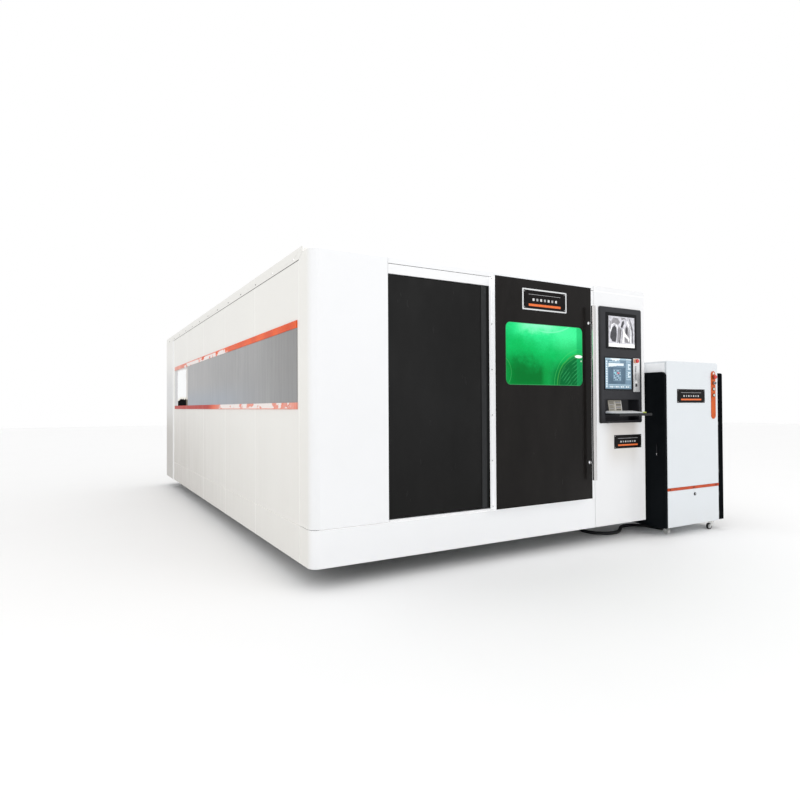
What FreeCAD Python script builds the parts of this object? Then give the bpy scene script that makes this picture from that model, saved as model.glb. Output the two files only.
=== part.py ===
import FreeCAD, Part
import os
import math

os.makedirs("parts", exist_ok=True)
V = FreeCAD.Vector

# ---------------------------------------------------------------------------
# Fiber laser cutting machine, millimetres.
# Design frame: X = 0 on the left wall, Y = 0 on the front wall, Z = 0 floor,
# front faces -Y.  Everything is written shifted by (-OX, -OY, 0), so that the
# origin is the middle of the footprint, on the floor.
# ---------------------------------------------------------------------------

# overall
WIDTH = 3595.0            # enclosure, left wall to right wall
LENGTH = 6900.0           # enclosure, front wall to rear wall
Z_SKIRT = 160.0           # lower edge of the skirt above the floor
Z_SEAM_LO = 436.0         # seam between skirt and wall panels
Z_SEAM_HI = 2410.0        # seam between wall panels and roof fascia
Z_FRONT = 2460.0          # upper edge of the front
Z_ROOF = 2500.0           # top of the side rails
SEAM = 4.0                # width of a visible seam
SHEET = 3.0               # sheet thickness
PAN = 30.0                # depth of a folded panel
R_CORNER = 70.0           # rounded vertical corners
POST_Y = 235.0            # depth of the corner post on the side
BAYS = [235.0, 1405.0, 2575.0, 3745.0, 4915.0, 6085.0]   # side panel seams
PROUD = 10.0              # rear corner panel and window band stand out

X_MIN = -PROUD
X_MAX = 4618.0
Y_MIN = -238.0
OX = (X_MIN + X_MAX) / 2.0
OY = (Y_MIN + LENGTH) / 2.0

# front opening and doors
OPEN_X0, OPEN_X1 = 627.5, 2700.0
OPEN_Z0, OPEN_Z1 = 452.0, 2333.0
X_CONSOLE = 2857.0        # seam between door surround and console panel
DOOR_X0, DOOR_X1 = 1598.0, 2727.0
DOOR_Z0, DOOR_Z1 = 455.0, 2407.0
DOOR_FACE = -87.0         # front of the door, proud of the wall
DOOR_BACK = -3.0
WIN = (1705.0, 2620.0, 1492.0, 2033.0)    # safety window, X0 X1 Z0 Z1
WIN_R = 52.0
PLATE_DOOR = (1888.0, 2408.0, 2144.0, 2329.0)
HANDLE_X, HANDLE_Y = 2693.0, -146.0
HANDLE_D = 40.0
HANDLE_Z = (632.0, 2232.0)
HANDLE_STANDOFF_Z = (792.0, 2076.0)
LEAF = (600.0, 1660.0, 456.0, 2350.0)     # inner leaf X0 X1 Z0 Z1
LEAF_Y = (15.0, 50.0)

# window band on the left wall
BAND_Y = (265.0, 5970.0)
BAND_SPLIT = 4841.0
BAND_Z = (1298.0, 1349.0, 1908.0, 1965.0)

# console
BEZ = (2922.0, 3528.0, 1145.0, 2272.0)
BEZ_R = 20.0
BEZ_FACE = -10.0
MON = (3013.0, 3454.0, 1867.0, 2220.0)
MON_PIC = (3049.0, 3425.0, 1886.5, 2187.5)
TCH = (2986.0, 3385.0, 1464.0, 1786.0)
TCH_PIC = (2997.5, 3373.5, 1474.5, 1775.5)
STRIP = (3400.0, 3495.0, 1449.0, 1783.0)
RECESS = (2997.0, 3482.0, 1168.0, 1374.0)
RECESS_DEPTH = 350.0
ESTOP_X, ESTOP_Z = 3434.0, 1757.0
PLATE_CON = (3124.0, 3523.0, 893.0, 1027.0)
TRAY = (3003.0, 3468.0, -160.0, 185.0)
TRAY_Z = 1226.0

# control cabinet
CAB_X = (3656.0, 4506.0)
CAB_Y = (-180.0, 700.0)
CAB_Z = (98.0, 1757.0)
CAB_R = 28.0
CAB_FACE = -200.0
STRIPE_Z = (462.0, 489.0)
COVER_TOP = 1647.0        # left cover
RCOVER_TOP = 1657.0       # right cover
CAB_EDGE = 10.0           # rounding of the doors' front edges
LCOVER_X = 3624.0
LCOVER_Y = -198.0
CTRL_X = 4418.5
CTRL_Z = (1170.0, 1672.0)
CTRL_W = 74.0
Z_ESTOP, Z_KEY, Z_START, Z_STOP = 1609.0, 1545.0, 1483.0, 1418.0
PLATE_CAB = (3812.0, 4270.0, 1338.0, 1478.0)
WHEEL_R = 33.0
CASTORS_FRONT = [(3808.0, -112.0), (4455.0, -146.0)]
CASTOR_TURN = (0.0, 82.0)   # degrees each front fork is turned from straight back
CASTORS_REAR = [(3740.0, 620.0), (4422.0, 620.0)]
TRAIL = 40.0

# conduit on the floor
CON_D = 34.0
GLAND_A = (3281.0, 774.0, 410.0)
GLAND_B = (3938.0, -113.0, 325.0)
ROUTE = [GLAND_A,
         (3281.0, 774.0, 263.0),
         (3279.0, 768.0, 158.0),
         (3269.5, 713.0, 69.0),
         (3244.0, 624.7, 18.0),
         (3205.0, 527.3, 18.0),
         (3155.6, 434.6, 18.0),
         (3156.6, 337.4, 18.0),
         (3204.1, 252.4, 18.0),
         (3286.4, 200.5, 18.0),
         (3383.6, 194.4, 18.0),
         (3482.0, 240.5, 18.0),
         (3579.0, 311.0, 18.0),
         (3672.0, 375.0, 18.0),
         (3777.0, 382.0, 18.0),
         (3871.0, 336.0, 18.0),
         (3930.0, 249.0, 18.0),
         (3937.0, 144.0, 18.0),
         (3938.0, 40.0, 18.0),
         (3938.0, -51.8, 69.0),
         (3938.0, -107.4, 158.0),
         (3938.0, -113.0, 263.0),
         GLAND_B]

# bed and gantry
BED_Y = (350.0, 6300.0)
BEAM_L = (250.0, 450.0)
BEAM_R = (2400.0, 2600.0)
BEAM_Z = (450.0, 900.0)
RAIL_X = (350.0, 2500.0)
RAIL_W, RAIL_H = 30.0, 28.0
GANTRY_Y = 1020.0         # middle of the gantry beam at rest
CAR_X = 1430.0            # middle of the cross carriage at rest


# ---------------------------------------------------------------------------
# helpers
# ---------------------------------------------------------------------------
def box(x0, x1, y0, y1, z0, z1):
    return Part.makeBox(x1 - x0, y1 - y0, z1 - z0, V(x0, y0, z0))


def cyl(c, r, h, d=(0, 0, 1)):
    return Part.makeCylinder(r, h, V(*c), V(*d))


def fillet_along(shape, axis, r, test=None):
    """Round the straight edges that run along an axis ('x', 'y' or 'z')."""
    out = []
    for e in shape.Edges:
        if not isinstance(e.Curve, Part.Line):
            continue
        a, b = e.Vertexes[0].Point, e.Vertexes[-1].Point
        d = b.sub(a)
        comp = {"x": abs(d.x), "y": abs(d.y), "z": abs(d.z)}
        if abs(comp[axis] - d.Length) < 1e-6:
            m = a.add(b).multiply(0.5)
            if test is None or test(m):
                out.append(e)
    return shape.makeFillet(r, out)


def rrect_y(x0, x1, z0, z1, y0, y1, r):
    """Rounded rectangle in XZ, drawn out along Y."""
    return fillet_along(box(x0, x1, y0, y1, z0, z1), "y", r)


def pan_x(x_out, x_in, y0, y1, z0, z1, t=SHEET):
    """Folded panel whose face is at x_out, open towards x_in."""
    lo, hi = min(x_out, x_in), max(x_out, x_in)
    outer = box(lo, hi, y0, y1, z0, z1)
    if x_in > x_out:
        inner = box(lo + t, hi + 1, y0 + t, y1 - t, z0 + t, z1 - t)
    else:
        inner = box(lo - 1, hi - t, y0 + t, y1 - t, z0 + t, z1 - t)
    return outer.cut(inner)


def pan_y(y_out, y_in, x0, x1, z0, z1, t=SHEET):
    lo, hi = min(y_out, y_in), max(y_out, y_in)
    outer = box(x0, x1, lo, hi, z0, z1)
    if y_in > y_out:
        inner = box(x0 + t, x1 - t, lo + t, hi + 1, z0 + t, z1 - t)
    else:
        inner = box(x0 + t, x1 - t, lo - 1, hi - t, z0 + t, z1 - t)
    return outer.cut(inner)


def pan_z(z_top, z_bot, x0, x1, y0, y1, t=SHEET):
    outer = box(x0, x1, y0, y1, z_bot, z_top)
    inner = box(x0 + t, x1 - t, y0 + t, y1 - t, z_bot - 1, z_top - t)
    return outer.cut(inner)


def tube_x(x0, x1, y0, y1, z0, z1, t=4.0):
    return box(x0, x1, y0, y1, z0, z1).cut(
        box(x0 - 1, x1 + 1, y0 + t, y1 - t, z0 + t, z1 - t))


def tube_y(x0, x1, y0, y1, z0, z1, t=4.0):
    return box(x0, x1, y0, y1, z0, z1).cut(
        box(x0 + t, x1 - t, y0 - 1, y1 + 1, z0 + t, z1 - t))


def tube_z(x0, x1, y0, y1, z0, z1, t=4.0):
    return box(x0, x1, y0, y1, z0, z1).cut(
        box(x0 + t, x1 - t, y0 + t, y1 - t, z0 - 1, z1 + 1))


def corner_sheet(xc, yc, sx, sy, lx, ly, z0, z1, r, t=SHEET):
    """Sheet bent round a vertical corner at (xc, yc); legs lx and ly long."""
    x1, y1 = xc + sx * lx, yc + sy * ly
    o = box(min(xc, x1), max(xc, x1), min(yc, y1), max(yc, y1), z0, z1)
    o = fillet_along(o, "z", r,
                     lambda m: abs(m.x - xc) < 1e-6 and abs(m.y - yc) < 1e-6)
    xi, yi = xc + sx * t, yc + sy * t
    x2, y2 = xc + sx * (lx + 5), yc + sy * (ly + 5)
    i = box(min(xi, x2), max(xi, x2), min(yi, y2), max(yi, y2), z0 - 1, z1 + 1)
    i = fillet_along(i, "z", r - t,
                     lambda m: abs(m.x - xi) < 1e-6 and abs(m.y - yi) < 1e-6)
    return o.cut(i)


def screw(c, d, head_r=6.0, head_h=3.5, shank_r=2.9, shank_l=8.0):
    """Domed screw; d points out of the panel, c is on its surface."""
    dv = V(*d)
    head = cyl(c, head_r, head_h, d)
    far = V(*c).add(V(*d).multiply(head_h))
    rim = [e for e in head.Edges
           if isinstance(e.Curve, Part.Circle)
           and (e.CenterOfMass.sub(far)).Length < 1e-3]
    head = head.makeFillet(head_h * 0.6, rim)
    sh = cyl(tuple(V(*c).sub(V(*d).multiply(shank_l))), shank_r, shank_l + 0.5, d)
    return head.fuse(sh)


def solids(shapes):
    out = []
    for s in shapes:
        for q in s.Solids:
            out.append(q)
    return out


COUNT = [0]


def save(name, *shapes):
    parts = solids(shapes)
    moved = []
    for s in parts:
        c = s.copy()
        c.translate(V(-OX, -OY, 0))
        if not c.isValid():
            print("INVALID", name)
        moved.append(c)
    shp = moved[0] if len(moved) == 1 else Part.makeCompound(moved)
    shp.exportStep("parts/%s.step" % name)
    COUNT[0] += 1
    b = shp.BoundBox
    print("%2d %-26s solids %2d  vol %10.0f cm3  [%7.1f %7.1f] [%7.1f %7.1f] [%7.1f %7.1f]" % (
        COUNT[0], name, len(moved), shp.Volume / 1000.0,
        b.XMin + OX, b.XMax + OX, b.YMin + OY, b.YMax + OY, b.ZMin, b.ZMax))


# ---------------------------------------------------------------------------
# bed: two hollow side beams on legs, tied by cross tubes
# ---------------------------------------------------------------------------
def closed_beam(x0, x1, y0, y1, z0, z1, t):
    """Hollow beam with welded end plates."""
    b = box(x0, x1, y0, y1, z0, z1).cut(
        box(x0 + t, x1 - t, y0 + t, y1 - t, z0 + t, z1 - t))
    return b


bed = [closed_beam(BEAM_L[0], BEAM_L[1], BED_Y[0], BED_Y[1], BEAM_Z[0], BEAM_Z[1], 12),
       closed_beam(BEAM_R[0], BEAM_R[1], BED_Y[0], BED_Y[1], BEAM_Z[0], BEAM_Z[1], 12)]
LEG_Y = [700.0, 2050.0, 3400.0, 4750.0, 6100.0]
for y in LEG_Y:
    for (a, b) in (BEAM_L, BEAM_R):
        m = (a + b) / 2
        bed.append(tube_z(m - 80, m + 80, y - 80, y + 80, 172, BEAM_Z[0], 10))
        bed.append(box(m - 95, m + 95, y - 95, y + 95, 160, 172))
    bed.append(tube_x(BEAM_L[0] + 180, BEAM_R[0] + 20, y - 60, y + 60, 250, 370, 8))
save("bed_frame", *bed)

# ---------------------------------------------------------------------------
# levelling feet, under the bed legs and under the wall frame
# ---------------------------------------------------------------------------
FRAME_FOOT = [(2890.0, 1000.0), (3533.0, 1405.0), (3533.0, 3745.0), (3533.0, 6085.0)]


def foot(x, y, ztop):
    pad = cyl((x, y, 0), 50, 16)
    rim = [e for e in pad.Edges if isinstance(e.Curve, Part.Circle)
           and abs(e.CenterOfMass.z - 16) < 1e-6]
    pad = pad.makeFillet(6, rim)
    stud = cyl((x, y, 10), 12, ztop - 10)
    nut = Part.Face(Part.makePolygon(
        [V(x + 21 * math.cos(math.radians(60 * k)),
           y + 21 * math.sin(math.radians(60 * k)), ztop - 22)
         for k in range(7)])).extrude(V(0, 0, 18))
    return pad.fuse([stud, nut]).removeSplitter()


feet = []
for y in LEG_Y:
    for (a, b) in (BEAM_L, BEAM_R):
        feet.append(foot((a + b) / 2, y, 160))
for (x, y) in FRAME_FOOT:
    feet.append(foot(x, y, 170))
save("levelling_feet", *feet)

# ---------------------------------------------------------------------------
# frame of the enclosure: square tubes
# ---------------------------------------------------------------------------
PY = [150.0, 1405.0, 2575.0, 3745.0, 4915.0, 6085.0, 6835.0]
frame = []
for (xa, xb) in ((32.0, 92.0), (3503.0, 3563.0)):
    frame.append(tube_y(xa, xb, 120, 6865, 170, 230))
    frame.append(tube_y(xa, xb, 120, 6865, 2400, 2460))
    for y in PY:
        frame.append(tube_z(xa, xb, y - 30, y + 30, 230, 2400))
for y in PY:
    frame.append(tube_x(92, 3503, y - 30, y + 30, 2400, 2460))
frame.append(tube_x(92, 3503, 120, 180, 170, 230))            # front sill
frame.append(tube_z(2860, 2920, 120, 180, 230, 2340))         # console post
frame.append(tube_z(540, 600, 120, 180, 230, 2340))           # left jamb post
frame.append(tube_x(92, 3503, 120, 180, 2340, 2400))          # header tube
frame.append(tube_x(92, 3503, 6805, 6865, 170, 230))          # rear sill
frame.append(tube_z(2860, 2920, 1000, 1060, 230, 2400))       # console bay, rear post
frame.append(tube_y(2860, 2920, 180, 1060, 170, 230))         # sill under that post
frame.append(tube_y(2860, 2920, 1060, 1375, 2400, 2460))      # ties that post to the roof
frame.append(tube_x(2920, 3503, 1000, 1060, 420, 480))        # shelf tube
# outriggers that carry the wall frame on the bed legs
for y in LEG_Y:
    frame.append(tube_x(92, 270, y - 25, y + 25, 176, 226))
    frame.append(tube_x(2580, 2860 if y < 1000 else 3503, y - 25, y + 25, 176, 226))
gland_plate = box(3216, 3346, 715, 1000, 440, 446).cut(cyl((GLAND_A[0], GLAND_A[1], 430), 21.0, 30))
frame.append(gland_plate)
save("wall_frame", *frame)

# ---------------------------------------------------------------------------
# cladding
# ---------------------------------------------------------------------------
g = SEAM / 2.0

# rounded front left corner, from the side seam to the door opening
corner = corner_sheet(0, 0, 1, 1, OPEN_X0, POST_Y - g, Z_SEAM_LO + g, Z_FRONT, R_CORNER)
corner = corner.fuse(box(OPEN_X0 - SHEET, OPEN_X0, 0, 10.5, Z_SEAM_LO + g, Z_FRONT))
corner = corner.fuse(box(0, 28, POST_Y - g - SHEET, POST_Y - g, Z_SEAM_LO + g, Z_FRONT))
cap = fillet_along(box(0, OPEN_X0, 0, 120, Z_FRONT - SHEET, Z_FRONT), "z", R_CORNER,
                   lambda m: m.x < 1 and m.y < 1)
corner = corner.fuse(cap).removeSplitter()
# the side leg is cut along a slope where the roof rail runs over it
SLOPE = [(243.0, Z_SEAM_HI - g), (141.0, Z_FRONT), (141.0, Z_FRONT + 60),
         (400.0, Z_FRONT + 60), (400.0, Z_SEAM_HI - g)]
wedge = Part.Face(Part.makePolygon([V(-20, y, z) for (y, z) in SLOPE + SLOPE[:1]])).extrude(V(88, 0, 0))
corner = corner.cut(wedge)
save("front_corner_panel", corner)

# skirt: front piece wraps the corner, then left, right and rear pieces
front_skirt = corner_sheet(0, 0, 1, 1, X_CONSOLE - g, POST_Y - g, Z_SKIRT, Z_SEAM_LO - g, R_CORNER)
front_skirt = front_skirt.fuse(box(R_CORNER, X_CONSOLE - g, 0, 30, Z_SKIRT, Z_SKIRT + SHEET))
front_skirt = front_skirt.fuse(box(R_CORNER, X_CONSOLE - g, 0, 30, Z_SEAM_LO - g - SHEET, Z_SEAM_LO - g))
left_skirt = pan_x(0, PAN, POST_Y + g, BAYS[-1] - g, Z_SKIRT, Z_SEAM_LO - g)
right_skirt = pan_x(WIDTH, WIDTH - PAN, POST_Y + g, LENGTH - 60 - g, Z_SKIRT, Z_SEAM_LO - g)
rear_skirt = pan_y(LENGTH, LENGTH - PAN, 600 + g, WIDTH, Z_SKIRT, Z_SEAM_LO - g)
save("skirt_panels", front_skirt, left_skirt, right_skirt, rear_skirt)

# surround of the door opening: header, right stile and sill in one sheet
sx_l, sx_r = OPEN_X0 + g, X_CONSOLE - g
header = box(sx_l, sx_r, 0, SHEET, OPEN_Z1, Z_SEAM_HI - 2.8)
header = header.fuse(box(sx_l, sx_r, SHEET, 12, OPEN_Z1, OPEN_Z1 + SHEET))
sill = box(sx_l, OPEN_X1, 0, SHEET, Z_SEAM_LO + g, OPEN_Z0)
sill = sill.fuse(box(sx_l, OPEN_X1, SHEET, 58, OPEN_Z0 - SHEET, OPEN_Z0))
stile = box(OPEN_X1, sx_r, 0, SHEET, Z_SEAM_LO + g, OPEN_Z1)
stile = stile.fuse(box(OPEN_X1, OPEN_X1 + SHEET, SHEET, 12, OPEN_Z0, OPEN_Z1))
stile = stile.fuse(box(sx_r - SHEET, sx_r, SHEET, 58, Z_SEAM_LO + g, OPEN_Z1))
save("door_surround", header.removeSplitter(), sill.removeSplitter(), stile.removeSplitter())

# console panel: full height, bent round the right corner, with a cut-out
con = corner_sheet(WIDTH, 0, -1, 1, WIDTH - X_CONSOLE - g, POST_Y - g, Z_SKIRT, Z_FRONT, 18.0)
con = con.fuse(box(X_CONSOLE + g, X_CONSOLE + g + SHEET, 0, 58, Z_SKIRT, Z_FRONT))
con = con.fuse(box(X_CONSOLE + g, WIDTH - 18, 0, 30, Z_SKIRT, Z_SKIRT + SHEET))
con = con.fuse(box(X_CONSOLE + g, WIDTH - 18, 0, 118, Z_FRONT - SHEET, Z_FRONT))
con = con.cut(box(BEZ[0] + 14, BEZ[1] - 14, -5, 10, BEZ[2] + 14, BEZ[3] - 14))
wedge_r = Part.Face(Part.makePolygon([V(WIDTH - 68, y, z) for (y, z) in SLOPE + SLOPE[:1]])).extrude(V(88, 0, 0))
con = con.cut(wedge_r)
save("console_panel", con.removeSplitter())

# side walls: folded panels, one a bay
lp = []
for a, b in zip(BAYS[:-1], BAYS[1:]):
    lp.append(pan_x(0, PAN, a + g, b - g, Z_SEAM_LO + g, Z_SEAM_HI - g))
save("left_panels", *lp)

rear_corner = corner_sheet(-PROUD, LENGTH, 1, -1, 610, LENGTH - BAYS[-1] - g, Z_SKIRT, Z_SEAM_HI - g, R_CORNER)
rear_corner = rear_corner.fuse(box(-PROUD, PAN, BAYS[-1] + g, BAYS[-1] + g + SHEET, Z_SKIRT, Z_SEAM_HI - g))
rear_corner = rear_corner.fuse(box(600 - SHEET, 600, LENGTH - PAN, LENGTH, Z_SKIRT, Z_SEAM_HI - g))
save("rear_corner_panel", rear_corner.removeSplitter())

rp = []
for a, b in zip(BAYS, BAYS[1:] + [LENGTH - 60]):
    rp.append(pan_x(WIDTH, WIDTH - PAN, a + g, b - g, Z_SEAM_LO + g, Z_SEAM_HI - g))
save("right_panels", *rp)

rr = []
xs = [600.0, 1600.0, 2600.0, WIDTH - g]
for a, b in zip(xs[:-1], xs[1:]):
    rr.append(pan_y(LENGTH, LENGTH - PAN, a + g, b - (g if b < 3500 else 0), Z_SEAM_LO + g, Z_SEAM_HI - g))
rr.append(pan_x(WIDTH, WIDTH - PAN, LENGTH - 60 + g, LENGTH - PAN - g, Z_SKIRT, Z_SEAM_HI - g))
save("rear_panels", *rr)

# roof fascia: side rails with a sloping front end, front and rear strips
RAIL_TOP_W = 60.0


def side_rail(x_face, s):
    a = min(x_face, x_face + s * SHEET)
    rail = box(a, a + SHEET, 100, LENGTH, Z_SEAM_HI + g, Z_ROOF)
    t0 = min(x_face, x_face + s * RAIL_TOP_W)
    rail = rail.fuse(box(t0, t0 + RAIL_TOP_W, 100, LENGTH, Z_ROOF - SHEET, Z_ROOF))
    rail = rail.fuse(box(t0 if s > 0 else t0 + RAIL_TOP_W - 28, t0 + 28 if s > 0 else t0 + RAIL_TOP_W,
                         100, LENGTH, Z_SEAM_HI + g, Z_SEAM_HI + g + SHEET))
    # front end: slope from the seam up to the front edge, then back to the roof
    cutpts = [(0, Z_SEAM_HI - 20), (246.0 + 40.8, Z_SEAM_HI - 20), (246.0, Z_SEAM_HI),
              (144.0, Z_FRONT), (120.0, Z_ROOF), (120.0, Z_ROOF + 20), (0, Z_ROOF + 20)]
    cutter = Part.Face(Part.makePolygon([V(-50, y, z) for (y, z) in cutpts + cutpts[:1]])).extrude(V(WIDTH + 100, 0, 0))
    rail = rail.cut(cutter)
    # closing plate along that front end
    z0 = Z_SEAM_HI + g
    y0 = 246.0 - (z0 - Z_SEAM_HI)
    ends = [(y0, z0), (144.0, Z_FRONT), (120.0, Z_ROOF), (124.0, Z_ROOF), (148.0, Z_FRONT), (y0 + 4, z0)]
    close = Part.Face(Part.makePolygon([V(t0, y, z) for (y, z) in ends + ends[:1]])).extrude(V(RAIL_TOP_W, 0, 0))
    # the plate is notched round the end of the frame's top tube
    close = close.cut(box(31.0, WIDTH - 31.0, 0, 400, Z_SEAM_HI - 10, 2461.0))
    return rail.fuse(close).removeSplitter()


left_rail = side_rail(0, 1)
right_rail = side_rail(WIDTH, -1)
front_strip = box(OPEN_X0 + g, X_CONSOLE - g, 0, SHEET, Z_SEAM_HI + 2.8, Z_FRONT)
front_strip = front_strip.fuse(box(OPEN_X0 + g, X_CONSOLE - g, 0, 118, Z_FRONT - SHEET, Z_FRONT))
rear_strip = box(RAIL_TOP_W + 2, WIDTH - RAIL_TOP_W - 2, LENGTH - SHEET, LENGTH, Z_SEAM_HI + g, Z_ROOF)
# screws of the left rail pass through clearance holes
RAIL_SCREW_Y = [341.0 + 520.0 * k for k in range(13)]
RAIL_SCREW_Z = 2437.0
for y in RAIL_SCREW_Y:
    left_rail = left_rail.cut(cyl((-5, y, RAIL_SCREW_Z), 3.2, 20, (1, 0, 0)))
save("roof_fascia", left_rail, right_rail, front_strip, rear_strip)

# roof panels, the first one with a sloping front edge
roof = []
rx0, rx1 = RAIL_TOP_W + 2, WIDTH - RAIL_TOP_W - 2
first = pan_z(Z_ROOF, Z_ROOF - PAN, rx0, rx1, 162, BAYS[1] - g)
slope_pts = [(12.0, Z_FRONT), (160.0, Z_ROOF), (162.0, Z_ROOF), (162.0, Z_ROOF - 3.2), (26.0, Z_FRONT)]
slope = Part.Face(Part.makePolygon([V(rx0, y, z) for (y, z) in slope_pts + slope_pts[:1]])).extrude(V(rx1 - rx0, 0, 0))
gusset = [(14.0, Z_FRONT), (162.0, Z_ROOF - 1), (163.0, Z_ROOF - 1), (163.0, Z_FRONT)]
for xa in (rx0, rx1 - SHEET):
    slope = slope.fuse(Part.Face(Part.makePolygon([V(xa, y, z) for (y, z) in gusset + gusset[:1]])).extrude(V(SHEET, 0, 0)))
first = first.fuse(slope).removeSplitter()
roof.append(first)
for a, b in zip(BAYS[1:], BAYS[2:] + [LENGTH - SHEET - g]):
    roof.append(pan_z(Z_ROOF, Z_ROOF - PAN, rx0, rx1, a + g, b - g))
save("roof_panels", *roof)

# window band: two glossy strips with a panel between them
lower = box(-PROUD, 0, BAND_Y[0], BAND_Y[1], BAND_Z[0], BAND_Z[1])
upper = box(-PROUD, 0, BAND_Y[0], BAND_Y[1], BAND_Z[2], BAND_Z[3])
lower = fillet_along(lower, "y", 3.0, lambda m: m.x < -5)
upper = fillet_along(upper, "y", 3.0, lambda m: m.x < -5)
save("band_strips", lower, upper)
save("band_panels",
     box(-5, 0, BAND_Y[0], BAND_SPLIT - 2, BAND_Z[1], BAND_Z[2]),
     box(-5, 0, BAND_SPLIT + 2, BAND_Y[1], BAND_Z[1], BAND_Z[2]))

# ---------------------------------------------------------------------------
# fixed screws: left roof rail and the cabinet's stripe
# ---------------------------------------------------------------------------
STRIPE_SCREWS = [3692.0, 4070.0, 4448.0]
STRIPE_SCREW_Z = (STRIPE_Z[0] + STRIPE_Z[1]) / 2.0
scr = [screw((0, y, RAIL_SCREW_Z), (-1, 0, 0)) for y in RAIL_SCREW_Y]
scr += [screw((x, CAB_FACE - 2, STRIPE_SCREW_Z), (0, -1, 0), 7.0, 3.5, 3.0, 14.0) for x in STRIPE_SCREWS]
save("panel_screws", *scr)

# ---------------------------------------------------------------------------
# console
# ---------------------------------------------------------------------------
bez = rrect_y(BEZ[0], BEZ[1], BEZ[2], BEZ[3], BEZ_FACE, 0, BEZ_R)
rim = [e for e in bez.Edges if abs(e.CenterOfMass.y - BEZ_FACE) < 1e-6]
bez = bez.makeFillet(2.5, rim)
bez = bez.cut(box(MON[0], MON[1], -20, 5, MON[2], MON[3]))
bez = bez.cut(box(TCH[0], TCH[1], -20, 5, TCH[2], TCH[3]))
pocket = box(RECESS[0] - 3, RECESS[1] + 3, -4, RECESS_DEPTH, RECESS[2] - 3, RECESS[3] + 3)
bez = bez.fuse(pocket)
bez = bez.cut(fillet_along(box(RECESS[0], RECESS[1], -20, RECESS_DEPTH - 3, RECESS[2], RECESS[3]), "y", 6.0))
bez = bez.cut(cyl((ESTOP_X, -20, ESTOP_Z), 8.1, 30, (0, 1, 0)))
save("console_bezel", bez.removeSplitter())


def display(out, pic, y_face, depth):
    d = fillet_along(box(out[0] + 0.5, out[1] - 0.5, y_face, 0, out[2] + 0.5, out[3] - 0.5), "y", 5.0)
    d = d.cut(box(pic[0], pic[1], y_face - 1, y_face + 1.5, pic[2], pic[3]))
    body = fillet_along(box(out[0] + 20, out[1] - 20, -0.01, depth, out[2] + 20, out[3] - 20), "y", 8.0)
    d = d.fuse(body)
    for k in range(9):
        x = out[0] + 60 + k * (out[1] - out[0] - 120) / 8.0
        d = d.cut(box(x - 4, x + 4, depth - 4, depth + 1, out[2] + 60, out[3] - 60))
    return d.removeSplitter()


save("monitor", display(MON, MON_PIC, -13.0, 52.0))
save("touch_panel", display(TCH, TCH_PIC, -13.0, 58.0))

strip = fillet_along(box(STRIP[0], STRIP[1], -14, -10, STRIP[2], STRIP[3]), "y", 6.0)
strip = strip.fuse(cyl((ESTOP_X, -24, ESTOP_Z), 17, 10.5, (0, 1, 0)))
strip = strip.cut(cyl((ESTOP_X, -30, ESTOP_Z), 8.1, 30, (0, 1, 0)))
strip = strip.cut(box(ESTOP_X - 17, ESTOP_X + 17, -15, -13, 1562, 1712))
strip = strip.cut(box(ESTOP_X - 5, ESTOP_X + 17, -15, -11.5, 1502, 1530))
save("button_strip", strip)


def estop(x, z, y_collar, stem_back):
    """Mushroom button; its stem runs in a collar, its back stands 6 off it."""
    stem = cyl((x, y_collar - 6, z), 8.0, stem_back - (y_collar - 6), (0, 1, 0))
    head = cyl((x, y_collar - 20, z), 20, 14, (0, 1, 0))
    edge = [e for e in head.Edges if isinstance(e.Curve, Part.Circle)
            and abs(e.CenterOfMass.y - (y_collar - 20)) < 1e-6]
    head = head.makeFillet(6.0, edge)
    back = [e for e in head.Edges if isinstance(e.Curve, Part.Circle)
            and abs(e.CenterOfMass.y - (y_collar - 6)) < 1e-6]
    head = head.makeChamfer(2.0, back)
    return head.fuse(stem)


save("console_estop", estop(ESTOP_X, ESTOP_Z, -24.0, -9.0))

save("console_plate", fillet_along(box(PLATE_CON[0], PLATE_CON[1], -2.5, 0, PLATE_CON[2], PLATE_CON[3]), "y", 4.0))

# keyboard tray: floor, low rims and a deep rounded front lip
tray = box(TRAY[0], TRAY[1], TRAY[2], TRAY[3], TRAY_Z, TRAY_Z + 3)
tray = tray.fuse(box(TRAY[0], TRAY[0] + 3, TRAY[2], TRAY[3], TRAY_Z, TRAY_Z + 14))
tray = tray.fuse(box(TRAY[1] - 3, TRAY[1], TRAY[2], TRAY[3], TRAY_Z, TRAY_Z + 14))
tray = tray.fuse(box(TRAY[0], TRAY[1], TRAY[3] - 3, TRAY[3], TRAY_Z, TRAY_Z + 14))
lip = fillet_along(box(TRAY[0], TRAY[1], TRAY[2] - 14, TRAY[2] + 4, TRAY_Z - 12, TRAY_Z + 14), "x", 8.0,
                   lambda m: m.y < TRAY[2] - 5)
tray = tray.fuse(lip).removeSplitter()
save("keyboard_tray", tray)

KB = (3008.0, 3400.0, -128.0, 6.0)
kb_pts = [(KB[2], TRAY_Z + 3), (KB[2], TRAY_Z + 17), (KB[3], TRAY_Z + 32), (KB[3], TRAY_Z + 3)]
kb = Part.Face(Part.makePolygon([V(KB[0], y, z) for (y, z) in kb_pts + kb_pts[:1]])).extrude(V(KB[1] - KB[0], 0, 0))
kb = fillet_along(kb, "z", 6.0)
save("keyboard", kb)

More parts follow.
